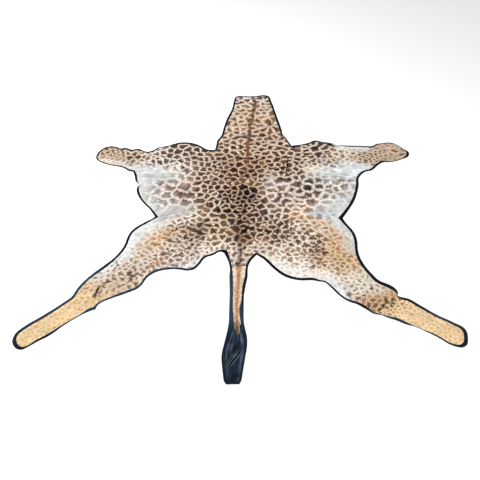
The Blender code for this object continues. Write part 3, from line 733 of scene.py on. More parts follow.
# Gives a piece all that the coat's material reads: where each face stands in the pattern, its four
# nearest patch centres, the zone values there and how dark the mane and the spine make it.
def noteCoat(piece, pointPlaces, faceCentres, faceShade):
    near = np.zeros((len(piece.data.polygons), 4), int)
    near[:len(faceCentres)] = nearest(faceCentres, centres, 4, reach=0.2)[0]
    for k, letter in enumerate("ABCD"):
        note(piece, "centre" + letter, centres[near[:, k]], centreNames[near[:, k]], domain="FACE")
    shade = np.full(len(near), 0.5)
    shade[:len(faceCentres)] = faceShade
    note(piece, "hairShade", shade, domain="FACE")
    zone = readField(zoneField, pointPlaces)
    x, y = pointPlaces.T
    s = darkReach
    maneGap, maneShare = pathGap(x, y, manePath)
    mane = ease(-maneGap, *s["mane"]) * ease(1.02 - maneShare, 0.0, s["maneEnd"])
    spineGap, spineShare = pathGap(x, y, spinePath)
    spine = ease(-spineGap, *s["spine"]) * ease(spineShare, *s["spineStart"])
    note(piece, "rootPlace", x, y)
    for name, columns in (("patchShade", ["patch"]), ("groundShade", ["ground"]),
                          ("rim", ["half", "soft", "ragged"]), ("hairLay", ["lay", "size"])):
        note(piece, name, *(zone[:, kept[column]] for column in columns))
    note(piece, "dark", mane, spine, zone[:, kept["heart"]])
    # the locks of hair, and the painted shade of the folds with the coat's dark streaks
    fields = (readField(field, pointPlaces, fineStep) for field in (combField, shadeAndStreakField))
    note(piece, "locks", *fields)


bench = {"tree": None}      # the node tree being built


# A value on its way through a node tree. Values are added, taken away, multiplied and divided like
# numbers, and each such step makes a math node.
class NodeValue:
    def __init__(self, socket):
        self.socket = socket

    def __add__(self, other):
        return reckon("ADD", self, other)

    def __sub__(self, other):
        return reckon("SUBTRACT", self, other)

    def __rsub__(self, other):
        return reckon("SUBTRACT", other, self)

    def __mul__(self, other):
        return reckon("MULTIPLY", self, other)

    def __truediv__(self, other):
        return reckon("DIVIDE", self, other)


# Links a value to a socket, or sets the socket to a number, a vector or a colour.
def plug(socket, value):
    if isinstance(value, NodeValue):
        bench["tree"].links.new(value.socket, socket)
    elif socket.type in ("VECTOR", "RGBA"):
        spread = tuple(np.broadcast_to(np.array(value, float), 3))
        socket.default_value = spread + ((1.0,) if socket.type == "RGBA" else ())
    else:
        socket.default_value = value


def put(kind, inputs=None, **settings):
    node = bench["tree"].nodes.new(kind)
    for key, value in settings.items():
        setattr(node, key, value)
    for key, value in (inputs or {}).items():
        plug(node.inputs[key], value)
    return node


# One math node, of the vector kind where a vector or a colour takes part.
def reckon(operation, *parts):
    wide = any(part.socket.type != "VALUE" if isinstance(part, NodeValue) else np.ndim(part)
               for part in parts)
    kind = "ShaderNodeVectorMath" if wide else "ShaderNodeMath"
    node = put(kind, dict(enumerate(parts)), operation=operation)
    return NodeValue(node.outputs[1 if operation in ("DOT_PRODUCT", "DISTANCE") else 0])


# Several values taken together by one operation, such as the least of them.
def gathered(operation, values):
    total = values[0]
    for value in values[1:]:
        total = reckon(operation, total, value)
    return total


def stored(name, output="Vector"):
    return NodeValue(put("ShaderNodeAttribute", attribute_name=name).outputs[output])


def onPiece():
    return NodeValue(put("ShaderNodeTexCoord").outputs["Object"])


def parted(vector):
    return [NodeValue(part) for part in put("ShaderNodeSeparateXYZ", {0: vector}).outputs]


def joined(x=0.0, y=0.0, z=0.0):
    return NodeValue(put("ShaderNodeCombineXYZ", {0: x, 1: y, 2: z}).outputs[0])


def noiseOf(vector, scale, detail=2.0, output="Fac"):
    values = {"Vector": vector, "Scale": scale, "Detail": detail}
    return NodeValue(put("ShaderNodeTexNoise", values).outputs[output])


def between(value, low, high, toLow=0.0, toHigh=1.0):
    values = {"Value": value, "From Min": low, "From Max": high, "To Min": toLow, "To Max": toHigh}
    return NodeValue(put("ShaderNodeMapRange", values, interpolation_type="SMOOTHSTEP").outputs[0])


def mixed(share, a, b):
    return NodeValue(put("ShaderNodeMix", {0: share, 6: a, 7: b}, data_type="RGBA").outputs[2])


# A colour mixed by a share with a screen shade.
def tinted(share, colour, shade):
    return mixed(share, colour, light(*shade))


def named(sockets):
    return {socket.name: NodeValue(socket) for socket in sockets}


def newGroup(name, **inputs):
    bench["tree"] = bpy.data.node_groups.new(name, "ShaderNodeTree")
    for label, kind in inputs.items():
        bench["tree"].interface.new_socket(label, in_out="INPUT", socket_type="NodeSocket" + kind)
    return named(put("NodeGroupInput").outputs)


def endGroup(**outputs):
    kinds = {"VALUE": "NodeSocketFloat", "VECTOR": "NodeSocketVector", "RGBA": "NodeSocketColor"}
    for label, value in outputs.items():
        kind = kinds[value.socket.type]
        bench["tree"].interface.new_socket(label, in_out="OUTPUT", socket_type=kind)
    put("NodeGroupOutput", outputs)
    return bench["tree"]


def useGroup(group, **values):
    return named(put("ShaderNodeGroup", values, node_tree=group).outputs)


def newMaterial(name, **fixed):
    material = bpy.data.materials.new(name)
    material.use_nodes = True
    bench["tree"] = material.node_tree
    for key, value in fixed.items():
        bench["tree"].nodes["Principled BSDF"].inputs[key.replace("_", " ")].default_value = value
    return material


# Ends a material with its colour, its roughness, and a bump's strength, distance and height.
def dress(material, colour, roughness, bump=None):
    shader = material.node_tree.nodes["Principled BSDF"]
    plug(shader.inputs["Base Color"], colour)
    plug(shader.inputs["Roughness"], roughness)
    if bump:
        node = put("ShaderNodeBump", dict(zip(("Strength", "Distance", "Height"), bump)))
        plug(shader.inputs["Normal"], NodeValue(node.outputs[0]))
    return material


# How deep inside its patch a place lies. From two centres' squared distances the distance to the
# line halfway between them is (far^2 - near^2) / (2 x the centres' distance); Line is the least of
# these. A smooth least dips at the corners, and Depth is Line plus Pointed times that dip, which
# draws the patch's corners out into points. Centres with one name have no line between them,
# except where Notch lets part of one in. Name and Offset are those of the nearest centre.
def makePatchNet():
    entry = newGroup("patchNet", Place="Vector", Corner="Float", Pointed="Float", Notch="Float")
    flat = (1.0, 1.0, 0.0)
    place = entry["Place"] * flat
    found = [stored("centre" + letter) for letter in "ABCD"]
    names = [parted(centre)[2] for centre in found]
    spots = [centre * flat for centre in found]
    offsets = [place - spot for spot in spots]
    squares = [reckon("DOT_PRODUCT", offset, offset) for offset in offsets]
    edges = [[] for _ in spots]
    for i in range(4):
        for j in range(i + 1, 4):
            gap = (squares[j] - squares[i]) / (reckon("DISTANCE", spots[i], spots[j]) * 2.0)
            same = reckon("COMPARE", names[i], names[j], 1e-5) * entry["Notch"]
            edges[i].append(gap + same)
            edges[j].append(same - gap)
    lines, depths = [], []
    for a, b, c in edges:
        smooth = reckon("SMOOTH_MIN", a, b, entry["Corner"])
        smooth = reckon("SMOOTH_MIN", smooth, c, entry["Corner"])
        lines.append(gathered("MINIMUM", (a, b, c)))
        depths.append((lines[-1] - smooth) * entry["Pointed"] + lines[-1])
    limit = gathered("MINIMUM", squares) + 1e-9
    here = [reckon("LESS_THAN", square, limit) for square in squares]
    name, offset = (gathered("ADD", [value * share for value, share in zip(values, here)])
                    for values in (names, offsets))
    return endGroup(Depth=gathered("MAXIMUM", depths), Line=gathered("MAXIMUM", lines),
                    Name=name, Offset=offset)


# Streaks of lying hair: noise whose grain is drawn out along the lay. Offset is the place measured
# from somewhere near, so that the grain follows a lay that turns.
def makeHairStreaks():
    entry = newGroup("hairStreaks", Offset="Vector", Lay="Vector", Length="Float", Width="Float",
                     Seed="Float")
    x, y, _ = parted(entry["Lay"])
    along = reckon("DOT_PRODUCT", entry["Offset"], entry["Lay"])
    across = reckon("DOT_PRODUCT", entry["Offset"], joined(y * -1.0, x))
    spot = joined(along / entry["Length"], across / entry["Width"], entry["Seed"] * 57.0)
    return endGroup(Streak=noiseOf(spot, 1.0))


patchNet = makePatchNet()
hairStreaks = makeHairStreaks()

coatLook = {
    "bend": 0.010,              # how far noise bends the net of lines, in metres
    "fray": 0.005,              # and how far it frays the patches' rims
    "starring": 0.010,          # lobes round each patch's centre
    "notches": 0.014,           # sharp bays between the lobes
    "combed": 0.011,            # how far locks of hair carry the rims along
    "combShade": 0.40,          # and how much they lighten and darken the hair
    # colour that the painted fold shade and the dark streaks darken towards
    "paintedShadeAndStreaks": (0.06, 0.045, 0.05),
    "corner": 0.50,             # how far from a corner a patch is drawn out, in patch sizes
    "pointed": 0.9,             # and how strongly
    "lineWidth": (0.0025, 0.0080),  # the ground's pale middle line fades over this
    "lineShade": (1.09, 1.10, 1.12),
    "rimShade": (0.80, 0.72, 0.65), # tanned ground beside the dark patches
    "rimDepth": (0.000, 0.010),     # the patch darkens over this much of its rim
    "rimPale": 1.25,
    "rimGround": 0.45,          # share of ground colour at the patch's very rim
    "core": 0.70,
    "slope": 0.30,              # tone across a patch, from one side to the other
    "rays": 0.55,               # paler strokes that reach in from the rim
    "darker": 0.30,             # most that one patch is darker than its zone
    "paler": 0.30,              # or mixed with this warm brown
    "palerShade": (150, 121, 92),
    "spineShade": (132, 92, 62),
    "maneShade": (110, 66, 40),
    "coolCast": (0.92, 0.96, 1.10),
    "warmCast": (1.04, 0.99, 0.86),
    "worn": 0.34,               # pale blotches within patches
    "heart": 0.45,              # darkening of the hearts
    "hairContrast": 0.34,
    "streakLength": 0.020,
    "streakWidth": 0.0022,
    "roughness": (0.66, 0.86),
}


# how fine each noise of the coat is: waves per metre, or round a patch for the last four
coatNoise = {
    "bend": 19.0, "fray": 80.0, "notch": 24.0, "uneven": 13.0, "ground": 9.0, "spine": 30.0,
    "mottle": 68.0, "cast": 7.0, "worn": 52.0, "mane": 40.0,
    "bays": 2.4, "lobes": 2.1, "veins": 3.2, "rays": 5.0,
}


# Short coat, from the patch net: a pale line in the middle of the ground, tanned ground beside it,
# and patches with starred rims, each of its own tone, with dark hearts, worn blotches and streaks.
def makeCoat():
    s, fine = coatLook, coatNoise
    material = newMaterial("giraffeCoat", Specular_IOR_Level=0.05)
    place, lay, hairShade = stored("rootPlace"), stored("hairLay"), stored("hairShade", "Fac")
    halfLine, softness, ragged = parted(stored("rim"))
    mane, spine, heart = parted(stored("dark"))
    # locks of hair, and the painted fold shade with the coat's dark streaks
    locks, shadeAndStreaks, _ = parted(stored("locks"))
    strength = ragged * 0.7 + 0.35
    bend = (noiseOf(place, fine["bend"], 2.0, "Color") - 0.5) * (2.0 * s["bend"])
    fray = (noiseOf(place, fine["fray"], 3.0, "Color") - 0.5) * (2.0 * s["fray"]) * strength
    patch = useGroup(patchNet, Place=place + (bend + fray), Corner=parted(lay)[2] * s["corner"],
                     Pointed=s["pointed"], Notch=noiseOf(place, fine["notch"], 1.0) * 0.16 - 0.068)
    streak = useGroup(hairStreaks, Offset=patch["Offset"], Lay=lay, Length=s["streakLength"],
                      Width=s["streakWidth"], Seed=patch["Name"])["Streak"]
    # lobes and bays turn with the heading from the patch's centre
    turned = joined(z=patch["Name"] * 31.0)
    around = reckon("NORMALIZE", patch["Offset"]) + turned
    bays = between(noiseOf(around, fine["bays"], 1.0), 0.52, 0.64) * -s["notches"]
    lobes = ((noiseOf(around, fine["lobes"]) - 0.5) * (2.0 * s["starring"]) + bays) * strength
    comb = locks - 0.5
    frayed = ((streak - 0.5) * 0.4 + comb) * (2.0 * s["combed"]) * ragged
    uneven = noiseOf(place, fine["uneven"], 1.0) * 1.1 + 0.40
    depth = patch["Depth"] + lobes + frayed - halfLine * uneven
    soft = softness * 0.75
    mask = between(depth, soft * -1.0, soft)
    # ground
    patchShade, groundShade = stored("patchShade", "Color"), stored("groundShade", "Color")
    brightness = reckon("DOT_PRODUCT", patchShade, (0.3, 0.6, 0.1))
    deepness = between(brightness, 0.50, 0.12)
    close = between(halfLine, 0.0085, 0.0110, 1.0, 0.0)
    tanned = mixed(deepness * (close * 0.75 + 0.25), 1.0, s["rimShade"])
    line = between(patch["Line"], *s["lineWidth"], 1.0, 0.0) * close
    cloud = between(noiseOf(place, fine["ground"], 3.0), 0.3, 0.75, 0.88, 1.05)
    ground = groundShade * (mixed(line, tanned, s["lineShade"]) * cloud)
    spineShare = spine * between(noiseOf(place, fine["spine"]), 0.35, 0.65, 0.20, 0.75)
    spineShare = spineShare * between(line, 0.0, 1.0, 1.0, 0.6)
    ground = tinted(spineShare, ground, s["spineShade"])
    # the tone of each patch, from rim to heart and from side to side
    own = reckon("FRACT", patch["Name"] * 17.31)
    veins = between(locks + noiseOf(around, fine["veins"]), 0.8, 1.2, 0.3, 1.0)
    inner = between(depth, 0.002, 0.022) * heart * veins
    rays = between(noiseOf(around, fine["rays"], 1.0), 0.42, 0.62, 0.0, s["rays"])
    turn = patch["Name"] * 83.0
    heading = joined(reckon("COSINE", turn), reckon("SINE", turn))
    slope = reckon("DOT_PRODUCT", patch["Offset"], heading)
    tone = gathered("MULTIPLY", [
        between(depth, *s["rimDepth"], s["rimPale"], s["core"]),
        inner * -s["heart"] + 1.0,
        rays * between(depth, 0.020, 0.004) + 1.0,
        between(noiseOf(place, fine["mottle"], 3.0), 0.3, 0.7, 0.62, 1.40),
        between(locks, 0.2, 0.9, 0.70, 1.55),
        between(own, 0.5, 0.0, 1.0, 1.0 - s["darker"]),
        between(slope, -0.030, 0.030, 1.0 - s["slope"], 1.0 + s["slope"])])
    shade = patchShade * ((tone - 1.0) * deepness + 1.0)
    # its cast, its rim and the worn places
    cast = between(noiseOf(place + turned, fine["cast"]), 0.35, 0.65)
    shade = mixed(deepness, shade, shade * mixed(cast, s["coolCast"], s["warmCast"]))
    shade = mixed(between(depth, 0.0, 0.006, s["rimGround"], 0.0), shade, ground)
    blotch = between(noiseOf(place, fine["worn"], 3.0), 0.52, 0.70, 0.0, s["worn"])
    shade = mixed(blotch * between(own, 0.15, 0.45), shade, ground)
    paler = between(own, 0.6, 1.0, 0.0, s["paler"]) * deepness * between(brightness, 0.008, 0.035)
    shade = tinted(paler, shade, s["palerShade"])
    colour = mixed(mask, ground, shade)
    # mane, painted shade in folds with the coat's dark streaks, locks and single hairs
    maneShare = between(noiseOf(place, fine["mane"], 3.0) * 2.0 + mane, 1.30, 2.05) * 0.80
    colour = tinted(maneShare, colour, s["maneShade"]) * mixed(shadeAndStreaks, 1.0, s["paintedShadeAndStreaks"])
    single = ((streak + hairShade) * 0.5 - 0.5) * (2.0 * s["hairContrast"]) + 1.0
    colour = colour * (comb * s["combShade"] + single)
    roughness = between(streak, 0.2, 0.8, *s["roughness"])
    return dress(material, colour, roughness, (0.5, 0.0012, streak))


fleshLook = {"buff": (206, 190, 168), "pale": (228, 216, 198), "nap": 420.0, "cloud": 14.0}


# Flesh side and cut rim of the tanned skin: pale buff, napped like suede.
def makeFlesh():
    s = fleshLook
    material = newMaterial("hideFlesh", Specular_IOR_Level=0.2)
    place = onPiece()
    nap, cloud = noiseOf(place, s["nap"], 3.0), noiseOf(place, s["cloud"], 3.0)
    colour = tinted(between(cloud, 0.3, 0.7), light(*s["buff"]), s["pale"])
    colour = colour * between(nap, 0.2, 0.8, 0.88, 1.06)
    return dress(material, colour, between(nap, 0.2, 0.8, 0.75, 0.95), (0.4, 0.0006, nap))


feltLook = {
    "navy": (7, 15, 25), "worn": (46, 60, 75), "lint": (104, 118, 134),
    "matting": 130.0,           # scales of its noises: matted curls, fibres, pills and clouds
    "fibre": 700.0,
    "pills": 95.0,
    "cloud": 6.0,
}


# Wool felt: matted fibres, slight pilling, lint, and cloudy fading.
def makeFelt():
    s = feltLook
    material = newMaterial("navyFelt", Sheen_Weight=0.01, Sheen_Roughness=0.6,
                           Specular_IOR_Level=0.03)
    place = onPiece()
    x, y, _ = parted(place)
    matted = place + (noiseOf(place, s["matting"], 2.0, "Color") - 0.5) * 0.02
    fibre = noiseOf(matted, s["fibre"], 3.0)
    pills, cloud = noiseOf(place, s["pills"], 3.0), noiseOf(place, s["cloud"], 3.0)
    # paler down the tail's tongue, but not at the right of the tuft
    right = between(x, 0.0, 0.02) * between(y, -1.04, -0.96, 0.0, 0.9)
    worn = between(y, -0.45, -0.75) * between(y, -1.06, -1.20, 1.0, 0.25) * (1.0 - right)
    worn = worn * 0.75 + between(cloud, 0.35, 0.75, 0.0, 0.08)
    colour = tinted(worn, light(*s["navy"]), s["worn"])
    colour = tinted(between(fibre, 0.68, 0.80, 0.0, 0.08), colour, s["lint"])
    colour = colour * between(pills, 0.3, 0.7, 0.82, 1.18)
    roughness = between(fibre, 0.2, 0.8, 0.82, 1.0)
    return dress(material, colour, roughness, (0.7, 0.0009, fibre + pills * 0.8))


tailLook = {
    "tan": (206, 160, 116), "cream": (238, 221, 202), "streak": (138, 96, 68),
    # seam: painted shadow in the gap where the tail skin meets the hide
    "rim": (240, 220, 202), "seam": (74, 52, 40), "torn": (74, 56, 50),
    "cloud": 26.0,
    "mottle": 48.0,
    "streakLength": 0.060,
    "streakWidth": 0.0045,
}


# Tail skin: cream at the sides, tan down the middle with a brown streak, darker at its torn end,
# and painted shadow along the seam at its top.
def makeTailCoat():
    s = tailLook
    material = newMaterial("tailCoat", Sheen_Weight=0.03, Sheen_Roughness=0.5,
                           Specular_IOR_Level=0.16)
    place, hairShade = stored("rootPlace"), stored("hairShade", "Fac")
    across, down, _ = parted(stored("tailSpot"))
    streak = useGroup(hairStreaks, Offset=place, Lay=(0.0, -1.0, 0.0), Length=s["streakLength"],
                      Width=s["streakWidth"], Seed=0.3)["Streak"]
    cloud = noiseOf(place, s["cloud"], 3.0)
    away = reckon("ABSOLUTE", across + (cloud - 0.5) * 0.7)
    sides = between(away, 0.12, 0.62) * between(down, 0.1, 0.5, 1.0, 0.25)
    colour = tinted(sides, light(*s["tan"]), s["cream"])
    line = between(away, 0.34, 0.04) * between(streak, 0.3, 0.65, 0.10, 0.60)
    colour = tinted(line * between(cloud, 0.3, 0.6, 0.5, 1.0), colour, s["streak"])
    rim = between(away, 0.42, 0.80) * between(down, 0.30, 0.42, 0.0, 0.7)
    colour = tinted(rim, colour, s["rim"])
    # painted shadow along the seam's gap at the top of the tail
    colour = tinted(between(down, 0.016, 0.004, 0.0, 0.8), colour, s["seam"])
    colour = colour * between(noiseOf(place, s["mottle"], 3.0), 0.34, 0.66, 0.66, 1.20)
    torn = between(down, 0.74, 0.90) * between(streak, 0.35, 0.55, 0.2, 0.95)
    colour = tinted(torn, colour, s["torn"])
    colour = colour * between((streak + hairShade) * 0.5, 0.25, 0.75, 0.74, 1.22)
    return dress(material, colour, between(streak, 0.2, 0.8, 0.6, 0.82), (0.5, 0.001, streak))


tuftLook = {
    "black": (7, 18, 34), "greyToneAndSheen": (88, 106, 128), "tip": (24, 33, 46), "silver": (136, 148, 162),
    "locks": 11.0,
    "gloss": 38.0,
}


# Glossy black tail hair with a blue cast; each hair has its own tone, and a few are silver. The
# grey of the paler hairs is partly painted sheen, most of it at the fan's sides.
def makeTuftHair():
    s = tuftLook
    material = newMaterial("tuftHair", Specular_IOR_Level=0.08)
    shade, share, pale = (stored(name, "Fac") for name in ("hairShade", "hairShare", "hairPale"))
    place = onPiece()
    x, y, _ = parted(place)
    # paler hairs: partly their own tone, partly painted sheen in place of the glossy highlights
    colour = tinted(between(shade, 0.46, 0.86), light(*s["black"]), s["greyToneAndSheen"])
    colour = tinted(between(share, 0.6, 1.0, 0.0, 0.35), colour, s["tip"])
    colour = tinted(pale, colour, s["silver"])
    # tone by locks, and blackest at the lower left
    black = between(x, -0.070, -0.095) * between(y, -1.42, -1.50)
    wide = between(noiseOf(place, s["locks"], 1.0), 0.35, 0.65, 0.50, 1.40)
    colour = colour * (wide * between(black, 0.0, 1.0, 1.0, 0.15))
    return dress(material, colour, between(noiseOf(place, s["gloss"]), 0.3, 0.7, 0.36, 0.55))


maneLook = {
    "dark": (66, 35, 17), "brown": (138, 82, 42), "foot": (150, 102, 78), "head": (92, 60, 42),
    "blotch": (54, 30, 18), "tip": (172, 122, 82),
    "blotches": 27.0,
}


# Mane bristles: chestnut brown, paler towards the tips and at the foot of the neck.
def makeManeHair():
    s = maneLook
    material = newMaterial("maneHair", Specular_IOR_Level=0.12)
    shade, share = stored("hairShade", "Fac"), stored("hairShare", "Fac")
    place = onPiece()
    along = parted(place)[1]
    colour = tinted(shade, light(*s["dark"]), s["brown"])
    colour = tinted(between(along, 1.05, 0.85, 0.0, 0.6), colour, s["foot"])
    colour = tinted(between(along, 1.30, 1.48, 0.0, 0.5), colour, s["head"])
    blotch = between(noiseOf(place, s["blotches"]), 0.50, 0.62, 0.0, 0.8)
    colour = tinted(blotch, colour, s["blotch"])
    colour = tinted(between(share, 0.3, 1.0, 0.0, 0.35), colour, s["tip"])
    return dress(material, colour, between(shade, 0.0, 1.0, 0.45, 0.65))


threadLook = {"dark": (38, 30, 26), "wax": (84, 66, 52), "ply": 420.0}


# Waxed linen thread: near black, with its ply showing as fine slanted bands.
def makeThread():
    s = threadLook
    material = newMaterial("waxedThread", Specular_IOR_Level=0.4)
    values = {"Vector": onPiece(), "Scale": s["ply"], "Distortion": 1.5}
    ply = NodeValue(put("ShaderNodeTexWave", values).outputs["Fac"])
    colour = tinted(ply, light(*s["dark"]), s["wax"])
    return dress(material, colour, between(ply, 0.0, 1.0, 0.5, 0.7), (0.5, 0.0003, ply))


giraffeCoat = makeCoat()
hideFlesh = makeFlesh()
navyFelt = makeFelt()
tailCoat = makeTailCoat()
tuftHair = makeTuftHair()
maneHair = makeManeHair()
waxedThread = makeThread()
print("materials made")


feltSizes = {"step": 24 * mm, "coarse": 60 * mm, "bulge": 0.9 * mm}


# Felt lies flat on the floor and rolls slightly on top.
def buildFelt():
    def top(places):
        x, y = places.T
        return hideSizes["felt"] + 0.10 * mm * rolling(x, y, 0.06, 71)

    def low(places):
        return np.zeros(len(places))

    felt, _ = closedSheet("felt_sheet", feltEdge, feltSizes, top, low, [navyFelt], 4)
    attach(felt, "root")
    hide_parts("felt_backing")
    return felt


felt = buildFelt()
print("felt:", len(felt.data.polygons), "faces")


hideNet = {"step": 8.2 * mm, "coarse": 40 * mm, "bulge": 0.7 * mm}


def buildHide():
    hide, faceCentres = closedSheet("hide_skin", hideEdge, hideNet, hideTop, hideUnder,
                                    [giraffeCoat, hideFlesh])
    noteCoat(hide, pointsOf(hide.data)[:, :2].astype(float), faceCentres, 0.5)
    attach(hide, "root")
    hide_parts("hide")
    return hide


hide = buildHide()
print("hide:", len(hide.data.polygons), "faces")


ribbon = {
    "shares": (0.0, 0.55, 1.0),     # where a lying hair's points stand along it
    "widths": (0.8, 1.0, 0.0),      # and its width there
    "bow": 0.10,
    "roll": 0.5,
    "cup": 0.3,
    "sunk": 0.15 * mm,
}


# Length, width and rise of each hair: sizes in mm, each times a random share from its own range.
def hairShapes(rng, count, sizes, ranges):
    return [size * mm * rng.uniform(low, high, count) for size, (low, high) in zip(sizes, ranges)]


# Lying hairs as tapered ribbons of five points: two at the root, two halfway, one at the tip. The
# point at share t stands t x length along the heading, and rise x t (2 - t) over the skin.
def lyingHair(name, roots, heading, shapes, topHeight, material, seed):
    s = ribbon
    length, width, rise = shapes
    rng = np.random.default_rng(seed)
    count = len(roots)
    along = np.stack([np.cos(heading), np.sin(heading)], axis=1)
    side = np.stack([-along[:, 1], along[:, 0]], axis=1)
    bow = rng.normal(0, s["bow"], count)
    roll = rng.uniform(-s["roll"], s["roll"], count)
    rows = []
    for share, wide in zip(s["shares"], s["widths"]):
        bowed = side * (length * bow * share ** 2)[:, None]
        spot = roots + along * (length * share)[:, None] + bowed
        z = topHeight(spot) - s["sunk"] + rise * share * (2.0 - share)
        for hand in (-0.5, 0.5) if wide else (0.0,):
            shift = width * wide * hand
            rows.append(np.column_stack([spot + side * shift[:, None],
                                         z + shift * roll + abs(shift) * s["cup"]]))
    places = np.stack(rows, axis=1).reshape(-1, 3)
    corners = (5 * np.arange(count)[:, None] + np.array([0, 1, 3, 2, 2, 3, 4])).ravel()
    piece = newPiece(name, places, corners, np.tile([4, 3], count), [material])
    layMap(piece, places[corners])
    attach(piece, "root")
    return piece


hairSizes = {
    "layers": ("coat_under", "coat_middle", "coat_over"),
    "step": 7.9 * mm,           # between roots, in each layer
    "quickStep": 1.6,
    # length, width and rise over the skin at the tip, layer by layer (mm), and the range of each
    "sizes": ((7.5, 2.6, 1.0), (9, 2.2, 1.6), (11, 1.8, 2.2)),
    "ranges": ((0.7, 1.15), (0.7, 1.2), (0.5, 1.3)),
    "overhang": 0.5 * mm,       # most that hair stands past the cut edge
    "stray": 0.35,              # radians off the lay
    "clumps": ((0.5, 0.03), (0.35, 0.011)),     # strength and cell of the noise that turns tufts
}


# One layer of the coat: roots on a shaken net, headings along the zones' lay and turned a little by
# rolling noise, so that the hair lies in small tufts.
def buildCoat(name, layer):
    s = hairSizes
    rng = np.random.default_rng(100 + layer)
    step = s["step"] * 1.0
    roots = netInside(hideEdge, step, 2.0 * mm)
    roots = roots + rng.uniform(-0.5, 0.5, roots.shape) * (step - 1.5 * mm)
    edgePoint = nearest(roots, hideEdge, 1)[0][:, 0]
    beyond = np.sum((roots - hideEdge[edgePoint]) * outward(hideEdge)[edgePoint], axis=1)
    roots = roots[beyond < 0.0]
    count = len(roots)
    zone = readField(zoneField, roots)
    clump = sum(much * rolling(*roots.T, cell, seed + layer)
                for (much, cell), seed in zip(s["clumps"], (200, 210)))
    layX, layY = zone[:, kept["lay"]].T
    heading = np.arctan2(layY, layX) + s["stray"] * (rng.normal(0, 0.6, count) + clump)
    room = nearest(roots, hideEdge, 1)[1][:, 0]
    shapes = hairShapes(rng, count, s["sizes"][layer], s["ranges"])
    shapes[0] = np.minimum(shapes[0], room + s["overhang"])
    coat = lyingHair(name, roots, heading, shapes, hideTop, giraffeCoat, 120 + layer)
    noteCoat(coat, np.repeat(roots, 5, axis=0), np.repeat(roots, 2, axis=0),
             np.repeat(rng.uniform(0, 1, count), 2))
    return coat


coats = [buildCoat(name, layer) for layer, name in enumerate(hairSizes["layers"])]
print("coat:", sum(len(coat.data.polygons) for coat in coats), "faces")


maneSizes = {
    "hairs": 6000,
    "half": 7.5 * mm,
    "sizes": (20, 1.1, 4.5),    # length, width and rise (mm), and the range of each
    "ranges": ((0.6, 1.15), (0.6, 1.2), (0.3, 1.1)),
    "crowding": 1.15,           # over 1, more of the hairs stand at the top of the neck
    "across": 0.75,             # spread beside the path, and its wander, in half widths
    "wander": 1.2,
    "bare": (0.035, 0.3, -0.05),    # cell and spread of the noise that leaves gaps, and its limit
    "clear": 6 * mm,            # of the cut edge
    "stray": 0.22,
    "lean": 0.5,
}


# Upright mane pressed flat: longer bristles rooted beside the crest, closer towards its middle and
# thinner towards the withers.
def buildMane():
    s = maneSizes
    rng = np.random.default_rng(300)
    path = np.array(manePath) / 1000
    runs = np.diff(path, axis=0)
    passed = np.concatenate([[0], np.cumsum(np.hypot(*runs.T))])
    count = s["hairs"]
    share = rng.uniform(0.0, 1.0, count) ** s["crowding"] * passed[-1]
    spot = np.stack([np.interp(share, passed, path[:, k]) for k in (0, 1)], axis=1)
    turn = np.stack([np.interp(share, passed[:-1], runs[:, k]) for k in (0, 1)], axis=1)
    turn /= np.hypot(*turn.T)[:, None]
    across = rng.normal(0, s["across"], count).clip(-2, 2)
    across = across + s["wander"] * rolling(*spot.T, 0.06, 303)
    roots = spot + np.stack([-turn[:, 1], turn[:, 0]], axis=1) * (across * s["half"])[:, None]
    cell, spread, limit = s["bare"]
    roots = roots[rolling(*roots.T, cell, 304) + rng.normal(0, spread, count) > limit]
    roots = roots[nearest(roots, hideEdge, 1)[1][:, 0] > s["clear"]]
    count = len(roots)
    lean = s["lean"] * rolling(*roots.T, 0.04, 301)
    heading = -np.pi / 2 + rng.normal(0, s["stray"], count) + lean
    shapes = hairShapes(rng, count, s["sizes"], s["ranges"])
    mane = lyingHair("mane", roots, heading, shapes, hideTop, maneHair, 302)
    note(mane, "hairShade", np.repeat(rng.uniform(0, 1, count), 2), domain="FACE")
    note(mane, "hairShare", np.tile(np.repeat(ribbon["shares"], (2, 2, 1)), count))
    return mane


mane = buildMane()
print("mane:", len(mane.data.polygons), "faces")


tailSizes = {
    "thickness": 2.4 * mm,
    "arch": 1.6 * mm,           # of the middle over the edges, reached this far in from them:
    "archWidth": 20 * mm,
    "climbStart": -1.059,       # it climbs over the tuft's head from here down
    "climbLength": 60 * mm,
    "climbHeight": 5.9 * mm,
    "step": 4.2 * mm,
    "coarse": 15 * mm,
    "bulge": 0.5 * mm,
    # from the torn end up: y, left side and right side (mm)
    "sides": [(-1200, -36, -6), (-1100, -39, 2), (-1000, -43, -4), (-930, -46, 4), (-800, -45, 13),
              (-700, -48, 31), (-590, -53, 40)],
    "top": -0.598,
    "long": 0.608,
    "hairStep": 2.6 * mm,
    "sizes": (13, 1.3, 1.5),    # length, width and rise (mm), and the range of each
    "ranges": ((0.6, 1.1), (0.7, 1.2), (0.5, 1.3)),
    "fringe": 0.8,              # how much longer the hair is at the torn end
    "splay": 0.35,              # radians outwards at the sides
    "stray": 0.16,
}


# Underside: an arch that rises from the edges, plus the climb on to the tuft's head.
def tailUnder(places):
    s = tailSizes
    gap = nearest(places, tailEdge, 1)[1][:, 0]
    climb = np.clip((s["climbStart"] - places[:, 1]) / s["climbLength"], 0, 1)
    arch = s["arch"] * np.minimum(1, gap / s["archWidth"])
    return hideSizes["felt"] + hideSizes["gap"] + arch + s["climbHeight"] * climb


def tailTop(places):
    x, y = places.T
    return tailUnder(places) + tailSizes["thickness"] + 0.25 * mm * rolling(x, y, 0.018, 310)


# Across the tail from -1 to 1, and down it from 0 to 1.
def tailSpot(places):
    s = tailSizes
    y, left, right = np.array(s["sides"]).T / 1000
    left, right = np.interp(places[:, 1], y, left), np.interp(places[:, 1], y, right)
    return (2 * places[:, 0] - left - right) / (right - left), (s["top"] - places[:, 1]) / s["long"]


